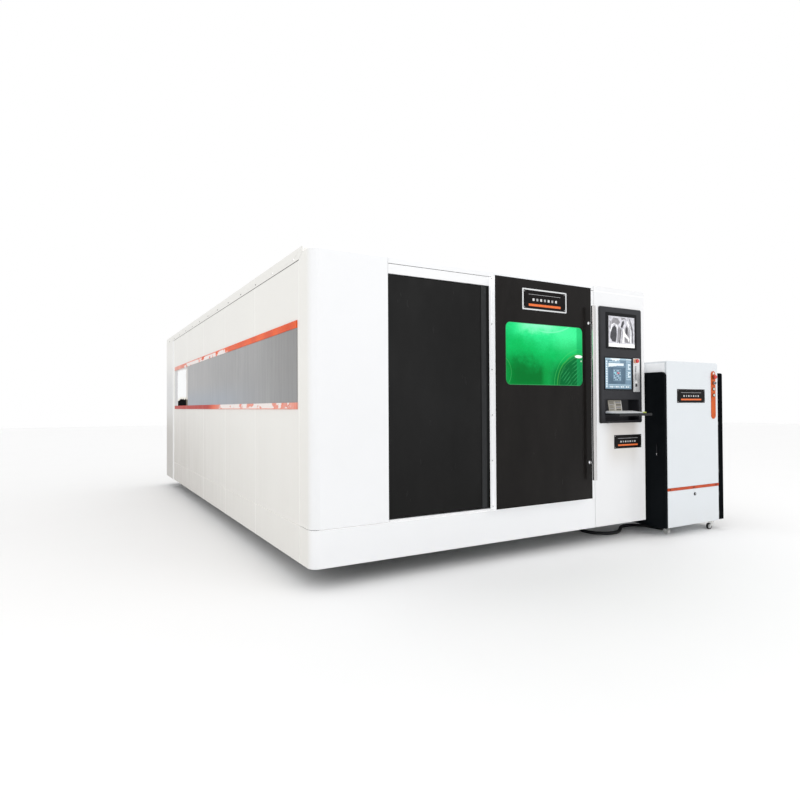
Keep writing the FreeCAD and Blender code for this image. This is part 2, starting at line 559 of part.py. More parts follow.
# ---------------------------------------------------------------------------
# slat table
# ---------------------------------------------------------------------------
TAB_X = (452.0, 2398.0)
TAB_Y = (420.0, 6230.0)
table = [tube_y(TAB_X[0] - 2, TAB_X[0] + 58, TAB_Y[0], TAB_Y[1], 740, 790, 4),
         tube_y(TAB_X[1] - 58, TAB_X[1] + 2, TAB_Y[0], TAB_Y[1], 740, 790, 4)]
NS = 30
for k in range(NS):
    y = TAB_Y[0] + 60 + k * (TAB_Y[1] - TAB_Y[0] - 120) / (NS - 1.0)
    pts = [V(TAB_X[0] + 4, y - 2, 790), V(TAB_X[0] + 4, y - 2, 846)]
    n = 24
    wx = (TAB_X[1] - TAB_X[0] - 8) / n
    for i in range(n):
        x = TAB_X[0] + 4 + i * wx
        pts.append(V(x + wx * 0.5, y - 2, 870))
        pts.append(V(x + wx, y - 2, 846))
    pts.append(V(TAB_X[1] - 4, y - 2, 790))
    pts.append(pts[0])
    table.append(Part.Face(Part.makePolygon(pts)).extrude(V(0, 4, 0)))
save("slat_table", *table)

# ---------------------------------------------------------------------------
# guide rails: two for the gantry, one for the door, a channel for the leaf
# ---------------------------------------------------------------------------
rails = []
for x in RAIL_X:
    r = box(x - RAIL_W / 2, x + RAIL_W / 2, BED_Y[0] + 30, BED_Y[1] - 30, 900, 900 + RAIL_H)
    r = r.cut(box(x - RAIL_W / 2 - 1, x - RAIL_W / 2 + 5, 300, 6400, 908, 918))
    r = r.cut(box(x + RAIL_W / 2 - 5, x + RAIL_W / 2 + 1, 300, 6400, 908, 918))
    rails.append(r)
rails.append(box(620, 2850, 100, 120, 2360, 2380))             # door rail on the header tube
# channel over the leaf: top web, two lips and its brackets
rails.append(box(560, 2850, 11, 54, 2368, 2372))
rails.append(box(560, 2850, 11, 14, 2352, 2368))
rails.append(box(560, 2850, 51, 54, 2352, 2368))
rails.append(box(560, 619, 54, 120, 2362, 2366))
rails.append(box(619, 2850, 54, 76, 2362, 2366))
rails.append(box(2780, 2850, 76, 100, 2362, 2366))
save("guide_rails", *rails)

# ---------------------------------------------------------------------------
# outer sliding door
# ---------------------------------------------------------------------------
fy0, fy1 = DOOR_FACE + 6, DOOR_BACK
sx0, sx1 = DOOR_X0, DOOR_X1
left_stile = pan_x(sx0, sx0 + 50, fy0, fy1, DOOR_Z0, DOOR_Z1 - 7, 3.0)
DOOR_SCREW_Z = [2385.0 - k * (2385.0 - 477.0) / 5.0 for k in range(6)]
for z in DOOR_SCREW_Z:
    left_stile = left_stile.cut(cyl((sx0 - 5, -40, z), 3.2, 20, (1, 0, 0)))
right_stile = tube_z(sx1 - 50, sx1, fy0, -14, DOOR_Z0, DOOR_Z1 - 7, 3.0)
top_rail = tube_x(sx0 + 50, sx1 - 50, fy0, -14, 2350, DOOR_Z1 - 7, 3.0)
bottom_rail = tube_x(sx0 + 50, sx1 - 50, fy0, -14, DOOR_Z0, DOOR_Z0 + 50, 3.0)
lock_rail = tube_x(sx0 + 50, sx1 - 50, fy0 + 12, -14, 1380, 1430, 3.0)
win_rail = tube_x(sx0 + 50, sx1 - 50, fy0 + 12, -14, 2070, 2110, 3.0)
save("door_frame", left_stile, right_stile, top_rail, bottom_rail, lock_rail, win_rail)

front = box(DOOR_X0, DOOR_X1, DOOR_FACE, DOOR_FACE + 6, DOOR_Z0, DOOR_Z1)
front = front.cut(rrect_y(WIN[0], WIN[1], WIN[2], WIN[3], DOOR_FACE - 1, DOOR_FACE + 7, WIN_R))
save("door_front_panel", front)

pane = rrect_y(WIN[0] - 16, WIN[1] + 16, WIN[2] - 16, WIN[3] + 16, DOOR_FACE + 6, DOOR_FACE + 12, WIN_R + 10)
save("door_window", pane)

save("door_plate", fillet_along(box(PLATE_DOOR[0], PLATE_DOOR[1], DOOR_FACE - 4, DOOR_FACE,
                                    PLATE_DOOR[2], PLATE_DOOR[3]), "y", 8.0))

save("door_screws", *[screw((DOOR_X0, -40, z), (-1, 0, 0), 6.0, 3.5, 2.9, 8.0) for z in DOOR_SCREW_Z])

# pull handle: tube with a closed top, on two standoffs
hb = cyl((HANDLE_X, HANDLE_Y, HANDLE_Z[0]), HANDLE_D / 2, HANDLE_Z[1] - HANDLE_Z[0])
top_edge = [e for e in hb.Edges if isinstance(e.Curve, Part.Circle)]
hb = hb.makeFillet(3.0, top_edge)
for z in HANDLE_STANDOFF_Z:
    hb = hb.fuse(cyl((HANDLE_X, HANDLE_Y, z), 11, DOOR_FACE - HANDLE_Y, (0, 1, 0)))
    hb = hb.fuse(cyl((HANDLE_X, DOOR_FACE - 6, z), 16, 6, (0, 1, 0)))
hb = hb.cut(cyl((HANDLE_X, HANDLE_Y, HANDLE_Z[0] - 1), HANDLE_D / 2 - 2.5, HANDLE_Z[1] - HANDLE_Z[0] - 5))
save("door_handle", hb)

# hangers: bent brackets through the header slot, with a block on the door rail
hang = []
for x in (1720.0, 2560.0):
    hang.append(box(x - 50, x + 50, -14, -9, 2355, 2408))
    hang.append(box(x - 50, x + 50, -14, 86, 2408, 2412))
    hang.append(box(x - 50, x + 50, 81, 86, 2345, 2408))
    hang.append(box(x - 40, x + 40, 86, 112, 2348, 2392).cut(
        box(x - 41, x + 41, 99.94, 121, 2359.94, 2380.06)))
save("door_hangers", *hang)

# inner leaf: flat panel with a raised pull profile near its right edge
leaf = pan_y(LEAF_Y[0], LEAF_Y[1], LEAF[0], LEAF[1], LEAF[2], LEAF[3])
for z in (940.0, 1420.0, 1900.0):
    leaf = leaf.fuse(box(LEAF[0] + 1, LEAF[1] - 1, LEAF_Y[0] + 2, LEAF_Y[1], z, z + SHEET))
leaf = leaf.fuse(box(LEAF[0] + 20, LEAF[1] - 20, 31, 34, LEAF[3] - 1, 2366))
leaf = leaf.fuse(fillet_along(box(1524, 1577, 9.5, 15.5, LEAF[2] + 6, LEAF[3] - 24), "z", 2.0,
                              lambda m: m.y < 12))
save("inner_leaf", leaf.removeSplitter())

# ---------------------------------------------------------------------------
# control cabinet
# ---------------------------------------------------------------------------
def arch(x0, x1, y0, y1, z0, z1, r):
    return fillet_along(box(x0, x1, y0, y1, z0, z1), "y", r, lambda m: m.z > z1 - 1)


body = arch(CAB_X[0], CAB_X[1], CAB_Y[0], CAB_Y[1], CAB_Z[0], CAB_Z[1], CAB_R)
body = body.cut(arch(CAB_X[0] + 3, CAB_X[1] - 3, CAB_Y[0] - 1, CAB_Y[1] - 3, CAB_Z[0] + 3, CAB_Z[1] - 3, CAB_R - 3))
body = body.fuse(box(CAB_X[0] + 3, CAB_X[1] - 3, CAB_Y[0] + 10, CAB_Y[1] - 3, 464, 467))
body = body.fuse(box(CAB_X[0] + 3, CAB_X[1] - 3, CAB_Y[0], CAB_Y[0] + 10, STRIPE_Z[0], STRIPE_Z[1]))
body = body.fuse(box(CAB_X[0] + 3, 4000, -165, -65, 355, 358))
body = body.cut(box(3905, 3972, -125, -15, CAB_Z[0] - 1, CAB_Z[0] + 4))
body = body.cut(cyl((GLAND_B[0], GLAND_B[1], 340), 21.0, 30))
for x in STRIPE_SCREWS:
    body = body.cut(cyl((x, CAB_Y[0] - 1, STRIPE_SCREW_Z), 3.2, 12, (0, 1, 0)))
save("cabinet_body", body.removeSplitter())

st = fillet_along(box(CAB_X[0], CAB_X[1], CAB_FACE - 2, CAB_Y[0], STRIPE_Z[0], STRIPE_Z[1]), "z", CAB_EDGE,
                  lambda m: m.y < CAB_FACE)
for x in STRIPE_SCREWS:
    st = st.cut(cyl((x, CAB_FACE - 3, STRIPE_SCREW_Z), 3.2, 30, (0, 1, 0)))
save("cabinet_stripe", st)

lc = box(LCOVER_X, CAB_X[0], LCOVER_Y, 690, CAB_Z[0], COVER_TOP)
lc = fillet_along(lc, "x", 22.0, lambda m: m.z > COVER_TOP - 1 and m.y > 0)
lc = fillet_along(lc, "x", 45.0, lambda m: m.z > COVER_TOP - 1)
lc = fillet_along(lc, "z", 6.0, lambda m: m.x < LCOVER_X + 1)
lc = lc.cut(box(LCOVER_X + 3, CAB_X[0] + 1, CAB_Y[0] + 3, 687, CAB_Z[0] + 3, COVER_TOP - 23))
lc = lc.cut(box(LCOVER_X + 3, CAB_X[0] - 3, LCOVER_Y + 3, CAB_Y[0] + 4, CAB_Z[0] + 3, COVER_TOP - 48))
lc = lc.fuse(fillet_along(box(LCOVER_X - 8, LCOVER_X + 1, -116, -102, 808, 932), "x", 6.0))
save("cabinet_left_cover", lc.removeSplitter())

# pin hinges on the right: a knuckle on the door between two eyes on the cover
HINGE = (CAB_X[1] + 4.0, -194.0)
HINGE_Z_UP = [620.0, 1120.0, 1590.0]
HINGE_Z_LOW = [170.0, 380.0]


def knuckle(z):
    k = cyl((HINGE[0], HINGE[1], z - 20), 5.5, 40)
    k = k.fuse(box(CAB_X[1] - 6.0, CAB_X[1] + 0.5, HINGE[1] - 2, HINGE[1] + 2, z - 20, z + 20))
    return k.cut(cyl((HINGE[0], HINGE[1], z - 21), 3.05, 42))


def hinge_eyes(z):
    pin = cyl((HINGE[0], HINGE[1], z - 23.5), 3.0, 47)
    for za in (z - 23.5, z + 20.2):
        pin = pin.fuse(cyl((HINGE[0], HINGE[1], za), 5.5, 3.3))
        pin = pin.fuse(box(CAB_X[1], HINGE[0] + 5, HINGE[1], CAB_Y[0] + 0.5, za, za + 3.3))
    return pin


rc = box(CAB_X[1], X_MAX, CAB_Y[0], 690, CAB_Z[0], RCOVER_TOP)
rc = fillet_along(rc, "x", 20.0, lambda m: m.z > RCOVER_TOP - 1)
rc = fillet_along(rc, "z", 6.0, lambda m: m.x > X_MAX - 1)
rc = rc.cut(box(CAB_X[1] - 1, X_MAX - 3, CAB_Y[0] + 3, 687, CAB_Z[0] + 3, RCOVER_TOP - 23))
for k in range(10):
    z = 500 + 36 * k
    rc = rc.cut(box(X_MAX - 4, X_MAX + 1, 60, 450, z, z + 10))
    rc = rc.cut(box(X_MAX - 4, X_MAX + 1, 60, 450, z + 600, z + 610))
for z in HINGE_Z_UP + HINGE_Z_LOW:
    rc = rc.fuse(hinge_eyes(z))
save("cabinet_right_cover", rc.removeSplitter())

# cabinet doors, both hung on the right
def front_round(shape, r, y, zmin):
    """Round the edges of the front face at y, except the one at its foot."""
    rim = [e for e in shape.Edges if abs(e.BoundBox.YMin - y) < 1e-4 and abs(e.BoundBox.YMax - y) < 1e-4
           and e.BoundBox.ZMax > zmin + 1]
    return shape.makeFillet(r, rim)


door = arch(CAB_X[0] + 2, CAB_X[1] - 2, CAB_FACE, CAB_Y[0] - 2, STRIPE_Z[1] + 2, CAB_Z[1], CAB_R - 2)
door = front_round(door, CAB_EDGE, CAB_FACE, STRIPE_Z[1] + 2)
hollow = arch(CAB_X[0] + 5, CAB_X[1] - 5, CAB_FACE + 3, CAB_Y[0] + 5, STRIPE_Z[1] + 5, CAB_Z[1] - 3, CAB_R - 5)
door = door.cut(front_round(hollow, CAB_EDGE - 3, CAB_FACE + 3, STRIPE_Z[1] + 5))
for (z, r) in ((Z_ESTOP, 8.1), (Z_KEY, 8.1), (Z_START, 7.1), (Z_STOP, 7.1)):
    door = door.cut(cyl((CTRL_X, CAB_FACE - 1, z), r + 1.5, 6, (0, 1, 0)))
for z in HINGE_Z_UP:
    door = door.fuse(knuckle(z))
save("cabinet_front_door", door)

low = box(CAB_X[0] + 2, CAB_X[1] - 2, CAB_FACE, CAB_Y[0] - 2, CAB_Z[0] + 2, STRIPE_Z[0] - 2)
low = fillet_along(low, "z", CAB_EDGE, lambda m: m.y < CAB_FACE + 1)
hollow = box(CAB_X[0] + 5, CAB_X[1] - 5, CAB_FACE + 3, CAB_Y[0] + 5, CAB_Z[0] + 5, STRIPE_Z[0] - 5)
low = low.cut(fillet_along(hollow, "z", CAB_EDGE - 3, lambda m: m.y < CAB_FACE + 4))
low = low.fuse(cyl((4088, CAB_FACE - 5, 406), 13, 5.5, (0, 1, 0)))
low = low.cut(box(4085, 4091, CAB_FACE - 6, CAB_FACE - 3, 399, 413))
for z in HINGE_Z_LOW:
    low = low.fuse(knuckle(z))
save("cabinet_lower_door", low)

save("cabinet_plate", fillet_along(box(PLATE_CAB[0], PLATE_CAB[1], CAB_FACE - 2.5, CAB_FACE,
                                       PLATE_CAB[2], PLATE_CAB[3]), "y", 4.0))

CF = CAB_FACE - 6
ctrl = box(CTRL_X - CTRL_W / 2, CTRL_X + CTRL_W / 2, CF, CAB_FACE, CTRL_Z[0], CTRL_Z[1])
ctrl = fillet_along(ctrl, "y", CTRL_W / 2 - 0.1)
front_rim = [e for e in ctrl.Edges if abs(e.CenterOfMass.y - CF) < 1e-6]
ctrl = ctrl.makeFillet(2.0, front_rim)
for (z, ro) in ((Z_ESTOP, 17.0), (Z_KEY, 15.0), (Z_START, 15.0), (Z_STOP, 15.0)):
    ctrl = ctrl.fuse(cyl((CTRL_X, CF - 6, z), ro, 6.5, (0, 1, 0)))
ctrl = ctrl.cut(cyl((CTRL_X, CF - 10, Z_ESTOP), 8.1, 30, (0, 1, 0)))
ctrl = ctrl.cut(cyl((CTRL_X, CF - 10, Z_KEY), 8.1, 30, (0, 1, 0)))
for z in (Z_START, Z_STOP):
    ctrl = ctrl.cut(cyl((CTRL_X, CF - 10, z), 7.1, 30, (0, 1, 0)))
    ctrl = ctrl.cut(cyl((CTRL_X, CF - 10, z), 12.1, 10.5, (0, 1, 0)))
save("control_strip", ctrl)

# emergency stop: collar face at CF - 6, head 6 off it
es = estop(CTRL_X, Z_ESTOP, CF - 12, CAB_FACE + 4)
save("cabinet_estop", es)

key = cyl((CTRL_X, CF - 10, Z_KEY), 13.0, 3.95, (0, 1, 0)).fuse(cyl((CTRL_X, CF - 7, Z_KEY), 8.0, 16, (0, 1, 0)))
# the key: a flat blade and a round bow with a hole
bow = cyl((CTRL_X - 1.5, CF - 21, Z_KEY), 11.0, 3.0, (1, 0, 0)).cut(cyl((CTRL_X - 2.5, CF - 24.5, Z_KEY), 3.5, 5.0, (1, 0, 0)))
key = key.fuse(bow).fuse(box(CTRL_X - 1.5, CTRL_X + 1.5, CF - 16, CF - 8, Z_KEY - 4.5, Z_KEY + 4.5))
save("key_switch", key)


def push(z):
    cap = cyl((CTRL_X, CF - 8, z), 12.0, 5, (0, 1, 0))
    e = [k for k in cap.Edges if isinstance(k.Curve, Part.Circle) and abs(k.CenterOfMass.y - (CF - 8)) < 1e-6]
    cap = cap.makeFillet(1.5, e)
    return cap.fuse(cyl((CTRL_X, CF - 4, z), 7.0, 12, (0, 1, 0)))


save("start_button", push(Z_START))
save("stop_button", push(Z_STOP))

# laser source on the shelf
ls = fillet_along(box(3760, 4440, -40, 640, 467, 812), "z", 8.0)
ls = ls.cut(fillet_along(box(3764, 4436, -36, 636, 460, 808), "z", 4.0))
for k in range(12):
    z = 500 + 24 * k
    ls = ls.cut(box(3820, 4180, -41, -35, z, z + 12))
save("laser_source", ls)

# ---------------------------------------------------------------------------
# castors: front pair swivels, rear pair is rigid
# ---------------------------------------------------------------------------
brackets = []
for (x, y) in CASTORS_FRONT:
    plate = box(x - 45, x + 45, y - 32, y + 32, CAB_Z[0] - 6, CAB_Z[0])
    plate = plate.cut(cyl((x, y, CAB_Z[0] - 10), 6.05, 12))
    brackets.append(plate)
for (x, y) in CASTORS_REAR:
    br = box(x - 35, x + 35, y - 45, y + 45, CAB_Z[0] - 6, CAB_Z[0])
    br = br.fuse(box(x - 17, x - 13.5, y - 20, y + 20, WHEEL_R - 8, CAB_Z[0] - 5.5))
    br = br.fuse(box(x + 13.5, x + 17, y - 20, y + 20, WHEEL_R - 8, CAB_Z[0] - 5.5))
    br = br.fuse(cyl((x - 15, y, WHEEL_R), 4.0, 30, (1, 0, 0)))
    brackets.append(br.removeSplitter())
save("castor_brackets", *brackets)


def turned(shape, x, y, deg):
    s = shape.copy()
    s.rotate(V(x, y, 0), V(0, 0, 1), deg)
    return s


def fork(x, y, deg):
    """Swivel fork: king pin at (x, y), axle behind it by the trail."""
    ct = CAB_Z[0] - 12.5
    crown = cyl((x, y, ct), 24, 6.0)
    pin = cyl((x, y, ct + 3), 6.0, 9.0)
    f = crown.fuse(pin)
    for s in (-1, 1):
        a, b = sorted((x + s * 13.5, x + s * 17))
        side = Part.Face(Part.makePolygon([
            V(a, y - 18, ct + 2), V(a, y + 22, ct + 2), V(a, y + TRAIL + 12, WHEEL_R - 5),
            V(a, y + TRAIL - 12, WHEEL_R - 9), V(a, y - 18, ct + 2)])).extrude(V(b - a, 0, 0))
        f = f.fuse(side)
    f = f.fuse(cyl((x - 15, y + TRAIL, WHEEL_R), 4.0, 30, (1, 0, 0)))
    return turned(f.removeSplitter(), x, y, deg)


def wheel(x, y):
    w = cyl((x - 12, y, WHEEL_R), WHEEL_R, 24, (1, 0, 0))
    edges = [e for e in w.Edges if isinstance(e.Curve, Part.Circle)]
    w = w.makeFillet(4.0, edges)
    w = w.cut(cyl((x - 20, y, WHEEL_R), 4.06, 40, (1, 0, 0)))
    return w


for name, (x, y), deg in zip(("left", "right"), CASTORS_FRONT, CASTOR_TURN):
    save("front_%s_fork" % name, fork(x, y, deg))
for name, (x, y), deg in zip(("left", "right"), CASTORS_FRONT, CASTOR_TURN):
    save("front_%s_wheel" % name, turned(wheel(x, y + TRAIL), x, y, deg))
save("rear_left_wheel", wheel(*CASTORS_REAR[0]))
save("rear_right_wheel", wheel(*CASTORS_REAR[1]))

# ---------------------------------------------------------------------------
# gantry, cross carriage and cutting head
# ---------------------------------------------------------------------------
gy = GANTRY_Y
beam = box(300, 2550, gy - 100, gy + 100, 975, 1215).cut(box(299, 2551, gy - 90, gy + 90, 985, 1205))
beam = beam.fuse(box(300, 310, gy - 100, gy + 100, 975, 1215)).fuse(box(2540, 2550, gy - 100, gy + 100, 975, 1215))
gantry = [beam.removeSplitter()]
for z in (1005.0, 1165.0):
    gantry.append(box(420, 2430, gy - 118, gy - 100, z, z + 24))
for x in RAIL_X:
    out = (130.0, 410.0) if x < 1000 else (2440.0, 2720.0)
    hole_x = 190.0 if x < 1000 else 2660.0
    gantry.append(box(out[0], out[1], gy - 200, gy + 200, 950, 975).cut(cyl((hole_x, gy, 940), 14, 50)))
    for y in (gy - 130, gy + 130):
        blk = box(x - 40, x + 40, y - 55, y + 55, 905, 950)
        blk = blk.cut(box(x - RAIL_W / 2 - 0.06, x + RAIL_W / 2 + 0.06, y - 56, y + 56, 904, 900 + RAIL_H + 0.06))
        gantry.append(blk)
save("gantry_beam", *gantry)

mot = []
for x in (190.0, 2660.0):
    m = fillet_along(box(x - 50, x + 50, gy - 50, gy + 50, 975, 1165), "z", 8.0)
    m = m.fuse(fillet_along(box(x - 45, x + 45, gy - 45, gy + 45, 1165, 1205), "z", 12.0))
    m = m.fuse(cyl((x, gy, 890), 11, 90))
    m = m.fuse(cyl((x, gy, 895), 30, 34))
    mot.append(m)
save("gantry_motors", *mot)

cx = CAR_X
car = [box(cx - 150, cx + 150, gy - 152, gy - 130, 985, 1215)]
for z in (1005.0, 1165.0):
    for x in (cx - 100, cx + 100):
        b = box(x - 38, x + 38, gy - 130, gy - 104, z - 12, z + 36)
        b = b.cut(box(x - 39, x + 39, gy - 118.06, gy - 100, z - 0.06, z + 24.06))
        car.append(b)
zbox = fillet_along(box(cx - 95, cx + 95, gy - 300, gy - 152, 940, 1480), "z", 14.0,
                    lambda m: m.y < gy - 290)
zbox = zbox.cut(fillet_along(box(cx - 91, cx + 91, gy - 296, gy - 156, 930, 1474), "z", 10.0,
                             lambda m: m.y < gy - 290))
car.append(zbox)
car.append(fillet_along(box(cx - 45, cx + 45, gy - 270, gy - 180, 1480, 1640), "z", 8.0))
save("carriage", *car)

hx, hy = cx, gy - 345.0
head = fillet_along(box(hx - 55, hx + 55, gy - 312, gy - 300.5, 985, 1400), "z", 2.0)
head = head.fuse(fillet_along(box(hx - 42, hx + 42, hy - 40, gy - 311, 1075, 1330), "z", 10.0))
head = head.fuse(cyl((hx, hy, 1000), 26, 76))
head = head.fuse(Part.makeCone(7, 24, 42, V(hx, hy, 959), V(0, 0, 1)))
head = head.fuse(cyl((hx, hy, 1329), 14, 90))
head = head.cut(cyl((hx, hy, 950), 1.5, 40))
save("cutting_head", head.removeSplitter())

# ---------------------------------------------------------------------------
# cable glands and the conduit between the enclosure and the cabinet
# ---------------------------------------------------------------------------
def gland(c, plate_lo, plate_hi):
    x, y, z = c
    hexa = Part.Face(Part.makePolygon(
        [V(x + 29 * math.cos(math.radians(60 * k)), y + 29 * math.sin(math.radians(60 * k)), z + 14)
         for k in range(7)])).extrude(V(0, 0, plate_lo - z - 14))
    nose = Part.makeCone(21.5, 26, 14, V(x, y, z), V(0, 0, 1))
    neck = cyl((x, y, plate_lo - 1), 20.8, plate_hi - plate_lo + 12)
    nut = Part.Face(Part.makePolygon(
        [V(x + 29 * math.cos(math.radians(60 * k)), y + 29 * math.sin(math.radians(60 * k)), plate_hi)
         for k in range(7)])).extrude(V(0, 0, 8))
    return nose.fuse([hexa, neck, nut]).removeSplitter()


save("cable_glands", gland(GLAND_A, 440, 446), gland(GLAND_B, 355, 358))


def tube_along(points, d, name):
    """Straight runs joined by tangent arcs; radius 0.45 of the shorter run
    over the tangent of half the turn."""
    P = [V(*p) for p in points]
    edges = []
    start = P[0]
    length = 0.0
    radii = []
    for i in range(1, len(P) - 1):
        a, b, c = P[i - 1], P[i], P[i + 1]
        u = b.sub(a)
        w = c.sub(b)
        lu, lw = u.Length, w.Length
        u = V(u.x / lu, u.y / lu, u.z / lu)
        w = V(w.x / lw, w.y / lw, w.z / lw)
        ang = math.acos(max(-1.0, min(1.0, u.dot(w))))
        t = 0.45 * min(lu, lw)
        r = t / math.tan(ang / 2)
        radii.append(round(r))
        p1 = b.sub(V(u.x * t, u.y * t, u.z * t))
        p2 = b.add(V(w.x * t, w.y * t, w.z * t))
        bis = w.sub(u)
        bl = bis.Length
        bis = V(bis.x / bl, bis.y / bl, bis.z / bl)
        dist = r / math.cos(ang / 2) - r
        pm = b.add(V(bis.x * dist, bis.y * dist, bis.z * dist))
        if p1.sub(start).Length > 1e-6:
            edges.append(Part.LineSegment(start, p1).toShape())
            length += p1.sub(start).Length
        edges.append(Part.Arc(p1, pm, p2).toShape())
        length += r * ang
        start = p2
    edges.append(Part.LineSegment(start, P[-1]).toShape())
    length += P[-1].sub(start).Length
    wire = Part.Wire(edges)
    d0 = P[1].sub(P[0])
    prof = Part.Wire([Part.Circle(P[0], d0, d / 2).toShape()])
    s = wire.makePipeShell([prof], True, True)
    if not s.Solids:
        s = Part.Solid(s)
    want = math.pi * d * d / 4 * length
    print("%s length %.1f  volume/expected %.4f  radii %s" % (name, length, s.Volume / want, radii))
    runs = [round(P[i + 1].sub(P[i]).Length) for i in range(len(P) - 1)]
    print("%s runs %s" % (name, runs))
    return s


save("floor_conduit", tube_along(ROUTE, CON_D, "floor_conduit"))
print("nodes", COUNT[0])
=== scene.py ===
import math
import bpy
import bmesh
from mathutils import Matrix, Vector


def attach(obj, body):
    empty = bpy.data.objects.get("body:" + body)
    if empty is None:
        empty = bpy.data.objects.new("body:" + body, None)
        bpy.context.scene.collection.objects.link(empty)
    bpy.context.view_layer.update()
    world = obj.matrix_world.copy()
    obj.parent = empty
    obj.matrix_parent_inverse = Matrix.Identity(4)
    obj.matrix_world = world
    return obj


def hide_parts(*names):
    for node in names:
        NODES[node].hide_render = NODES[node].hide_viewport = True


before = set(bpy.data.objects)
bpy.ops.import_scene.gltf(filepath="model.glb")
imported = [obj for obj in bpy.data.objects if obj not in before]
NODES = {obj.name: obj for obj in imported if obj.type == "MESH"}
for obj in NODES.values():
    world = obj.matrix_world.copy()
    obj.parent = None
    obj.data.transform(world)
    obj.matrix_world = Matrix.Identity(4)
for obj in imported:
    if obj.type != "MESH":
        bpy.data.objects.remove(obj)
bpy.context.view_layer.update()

# design frame of the part (mm) to row frame (m)
OX, OY = 2304.0, 3331.0


def D(x, y, z):
    return Vector(((x - OX) / 1000.0, (y - OY) / 1000.0, z / 1000.0))


# ---------------------------------------------------------------------------
# materials
# ---------------------------------------------------------------------------
def new_mat(name):
    m = bpy.data.materials.new(name)
    m.use_nodes = True
    nt = m.node_tree
    nt.nodes.clear()
    out = nt.nodes.new("ShaderNodeOutputMaterial")
    b = nt.nodes.new("ShaderNodeBsdfPrincipled")
    nt.links.new(b.outputs[0], out.inputs[0])
    return m, nt, b


def coords(nt, stretch=(1, 1, 1)):
    tc = nt.nodes.new("ShaderNodeTexCoord")
    mp = nt.nodes.new("ShaderNodeMapping")
    mp.inputs["Scale"].default_value = stretch
    nt.links.new(tc.outputs["Object"], mp.inputs["Vector"])
    return mp.outputs["Vector"]


def noise(nt, vec, scale, detail=3.0, rough=0.55):
    n = nt.nodes.new("ShaderNodeTexNoise")
    n.inputs["Scale"].default_value = scale
    n.inputs["Detail"].default_value = detail
    n.inputs["Roughness"].default_value = rough
    nt.links.new(vec, n.inputs["Vector"])
    return n.outputs["Fac"]


def remap(nt, val, a, b, lo, hi, smooth=False):
    r = nt.nodes.new("ShaderNodeMapRange")
    r.clamp = True
    if smooth:
        r.interpolation_type = "SMOOTHSTEP"
    r.inputs["From Min"].default_value = a
    r.inputs["From Max"].default_value = b
    r.inputs["To Min"].default_value = lo
    r.inputs["To Max"].default_value = hi
    nt.links.new(val, r.inputs["Value"])
    return r.outputs["Result"]


def mixc(nt, fac, a, b):
    m = nt.nodes.new("ShaderNodeMix")
    m.data_type = "RGBA"
    if isinstance(fac, float):
        m.inputs[0].default_value = fac
    else:
        nt.links.new(fac, m.inputs[0])
    for sock, v in ((m.inputs[6], a), (m.inputs[7], b)):
        if isinstance(v, (tuple, list)):
            sock.default_value = (v[0], v[1], v[2], 1.0)
        else:
            nt.links.new(v, sock)
    return m.outputs[2]


def math_node(nt, op, a, b=None):
    m = nt.nodes.new("ShaderNodeMath")
    m.operation = op
    for i, v in enumerate((a, b)):
        if v is None:
            continue
        if isinstance(v, (int, float)):
            m.inputs[i].default_value = v
        else:
            nt.links.new(v, m.inputs[i])
    return m.outputs[0]


def axis_value(nt, axis):
    tc = nt.nodes.new("ShaderNodeTexCoord")
    s = nt.nodes.new("ShaderNodeSeparateXYZ")
    nt.links.new(tc.outputs["Object"], s.inputs[0])
    return s.outputs[axis]


def shade(c, k):
    return tuple(min(1.0, max(0.0, v * k)) for v in c)


def surface(name, base, rough=0.4, metal=0.0, var=0.03, vscale=3.0, rvar=0.05, rscale=8.0,
            bump=0.0, bscale=200.0, bdist=0.0004, coat=0.0, coat_rough=0.05, spec=0.5,
            stretch=(1, 1, 1), tint=None, detail=4.0, grime=None, sheen=0.0):
    """Noise in colour, roughness and bump round one finish."""
    m, nt, b = new_mat(name)
    v = coords(nt, stretch)
    n1 = noise(nt, v, vscale, detail)
    lo = shade(base, 1.0 - var)
    hi = shade(tint if tint else base, 1.0 + var)
    col = mixc(nt, remap(nt, n1, 0.3, 0.7, 0.0, 1.0), lo, hi)
    if grime:
        # (colour, z_low, z_high, amount): darker towards the floor, broken up by noise
        gz = remap(nt, axis_value(nt, 2), grime[1], grime[2], grime[3], 0.0, True)
        gn = remap(nt, noise(nt, coords(nt), 5.0, 5.0), 0.35, 0.7, 0.35, 1.0)
        col = mixc(nt, math_node(nt, "MULTIPLY", gz, gn), col, grime[0])
    nt.links.new(col, b.inputs["Base Color"])
    n2 = noise(nt, v, rscale, 5.0)
    nt.links.new(remap(nt, n2, 0.3, 0.7, max(0.02, rough - rvar), min(1.0, rough + rvar)), b.inputs["Roughness"])
    b.inputs["Metallic"].default_value = metal
    b.inputs["Specular IOR Level"].default_value = spec
    if coat:
        b.inputs["Coat Weight"].default_value = coat
        b.inputs["Coat Roughness"].default_value = coat_rough
    if sheen:
        b.inputs["Sheen Weight"].default_value = sheen
    if bump:
        n3 = noise(nt, v, bscale, 3.0)
        bp = nt.nodes.new("ShaderNodeBump")
        bp.inputs["Strength"].default_value = bump
        bp.inputs["Distance"].default_value = bdist
        nt.links.new(n3, bp.inputs["Height"])
        nt.links.new(bp.outputs[0], b.inputs["Normal"])
    return m


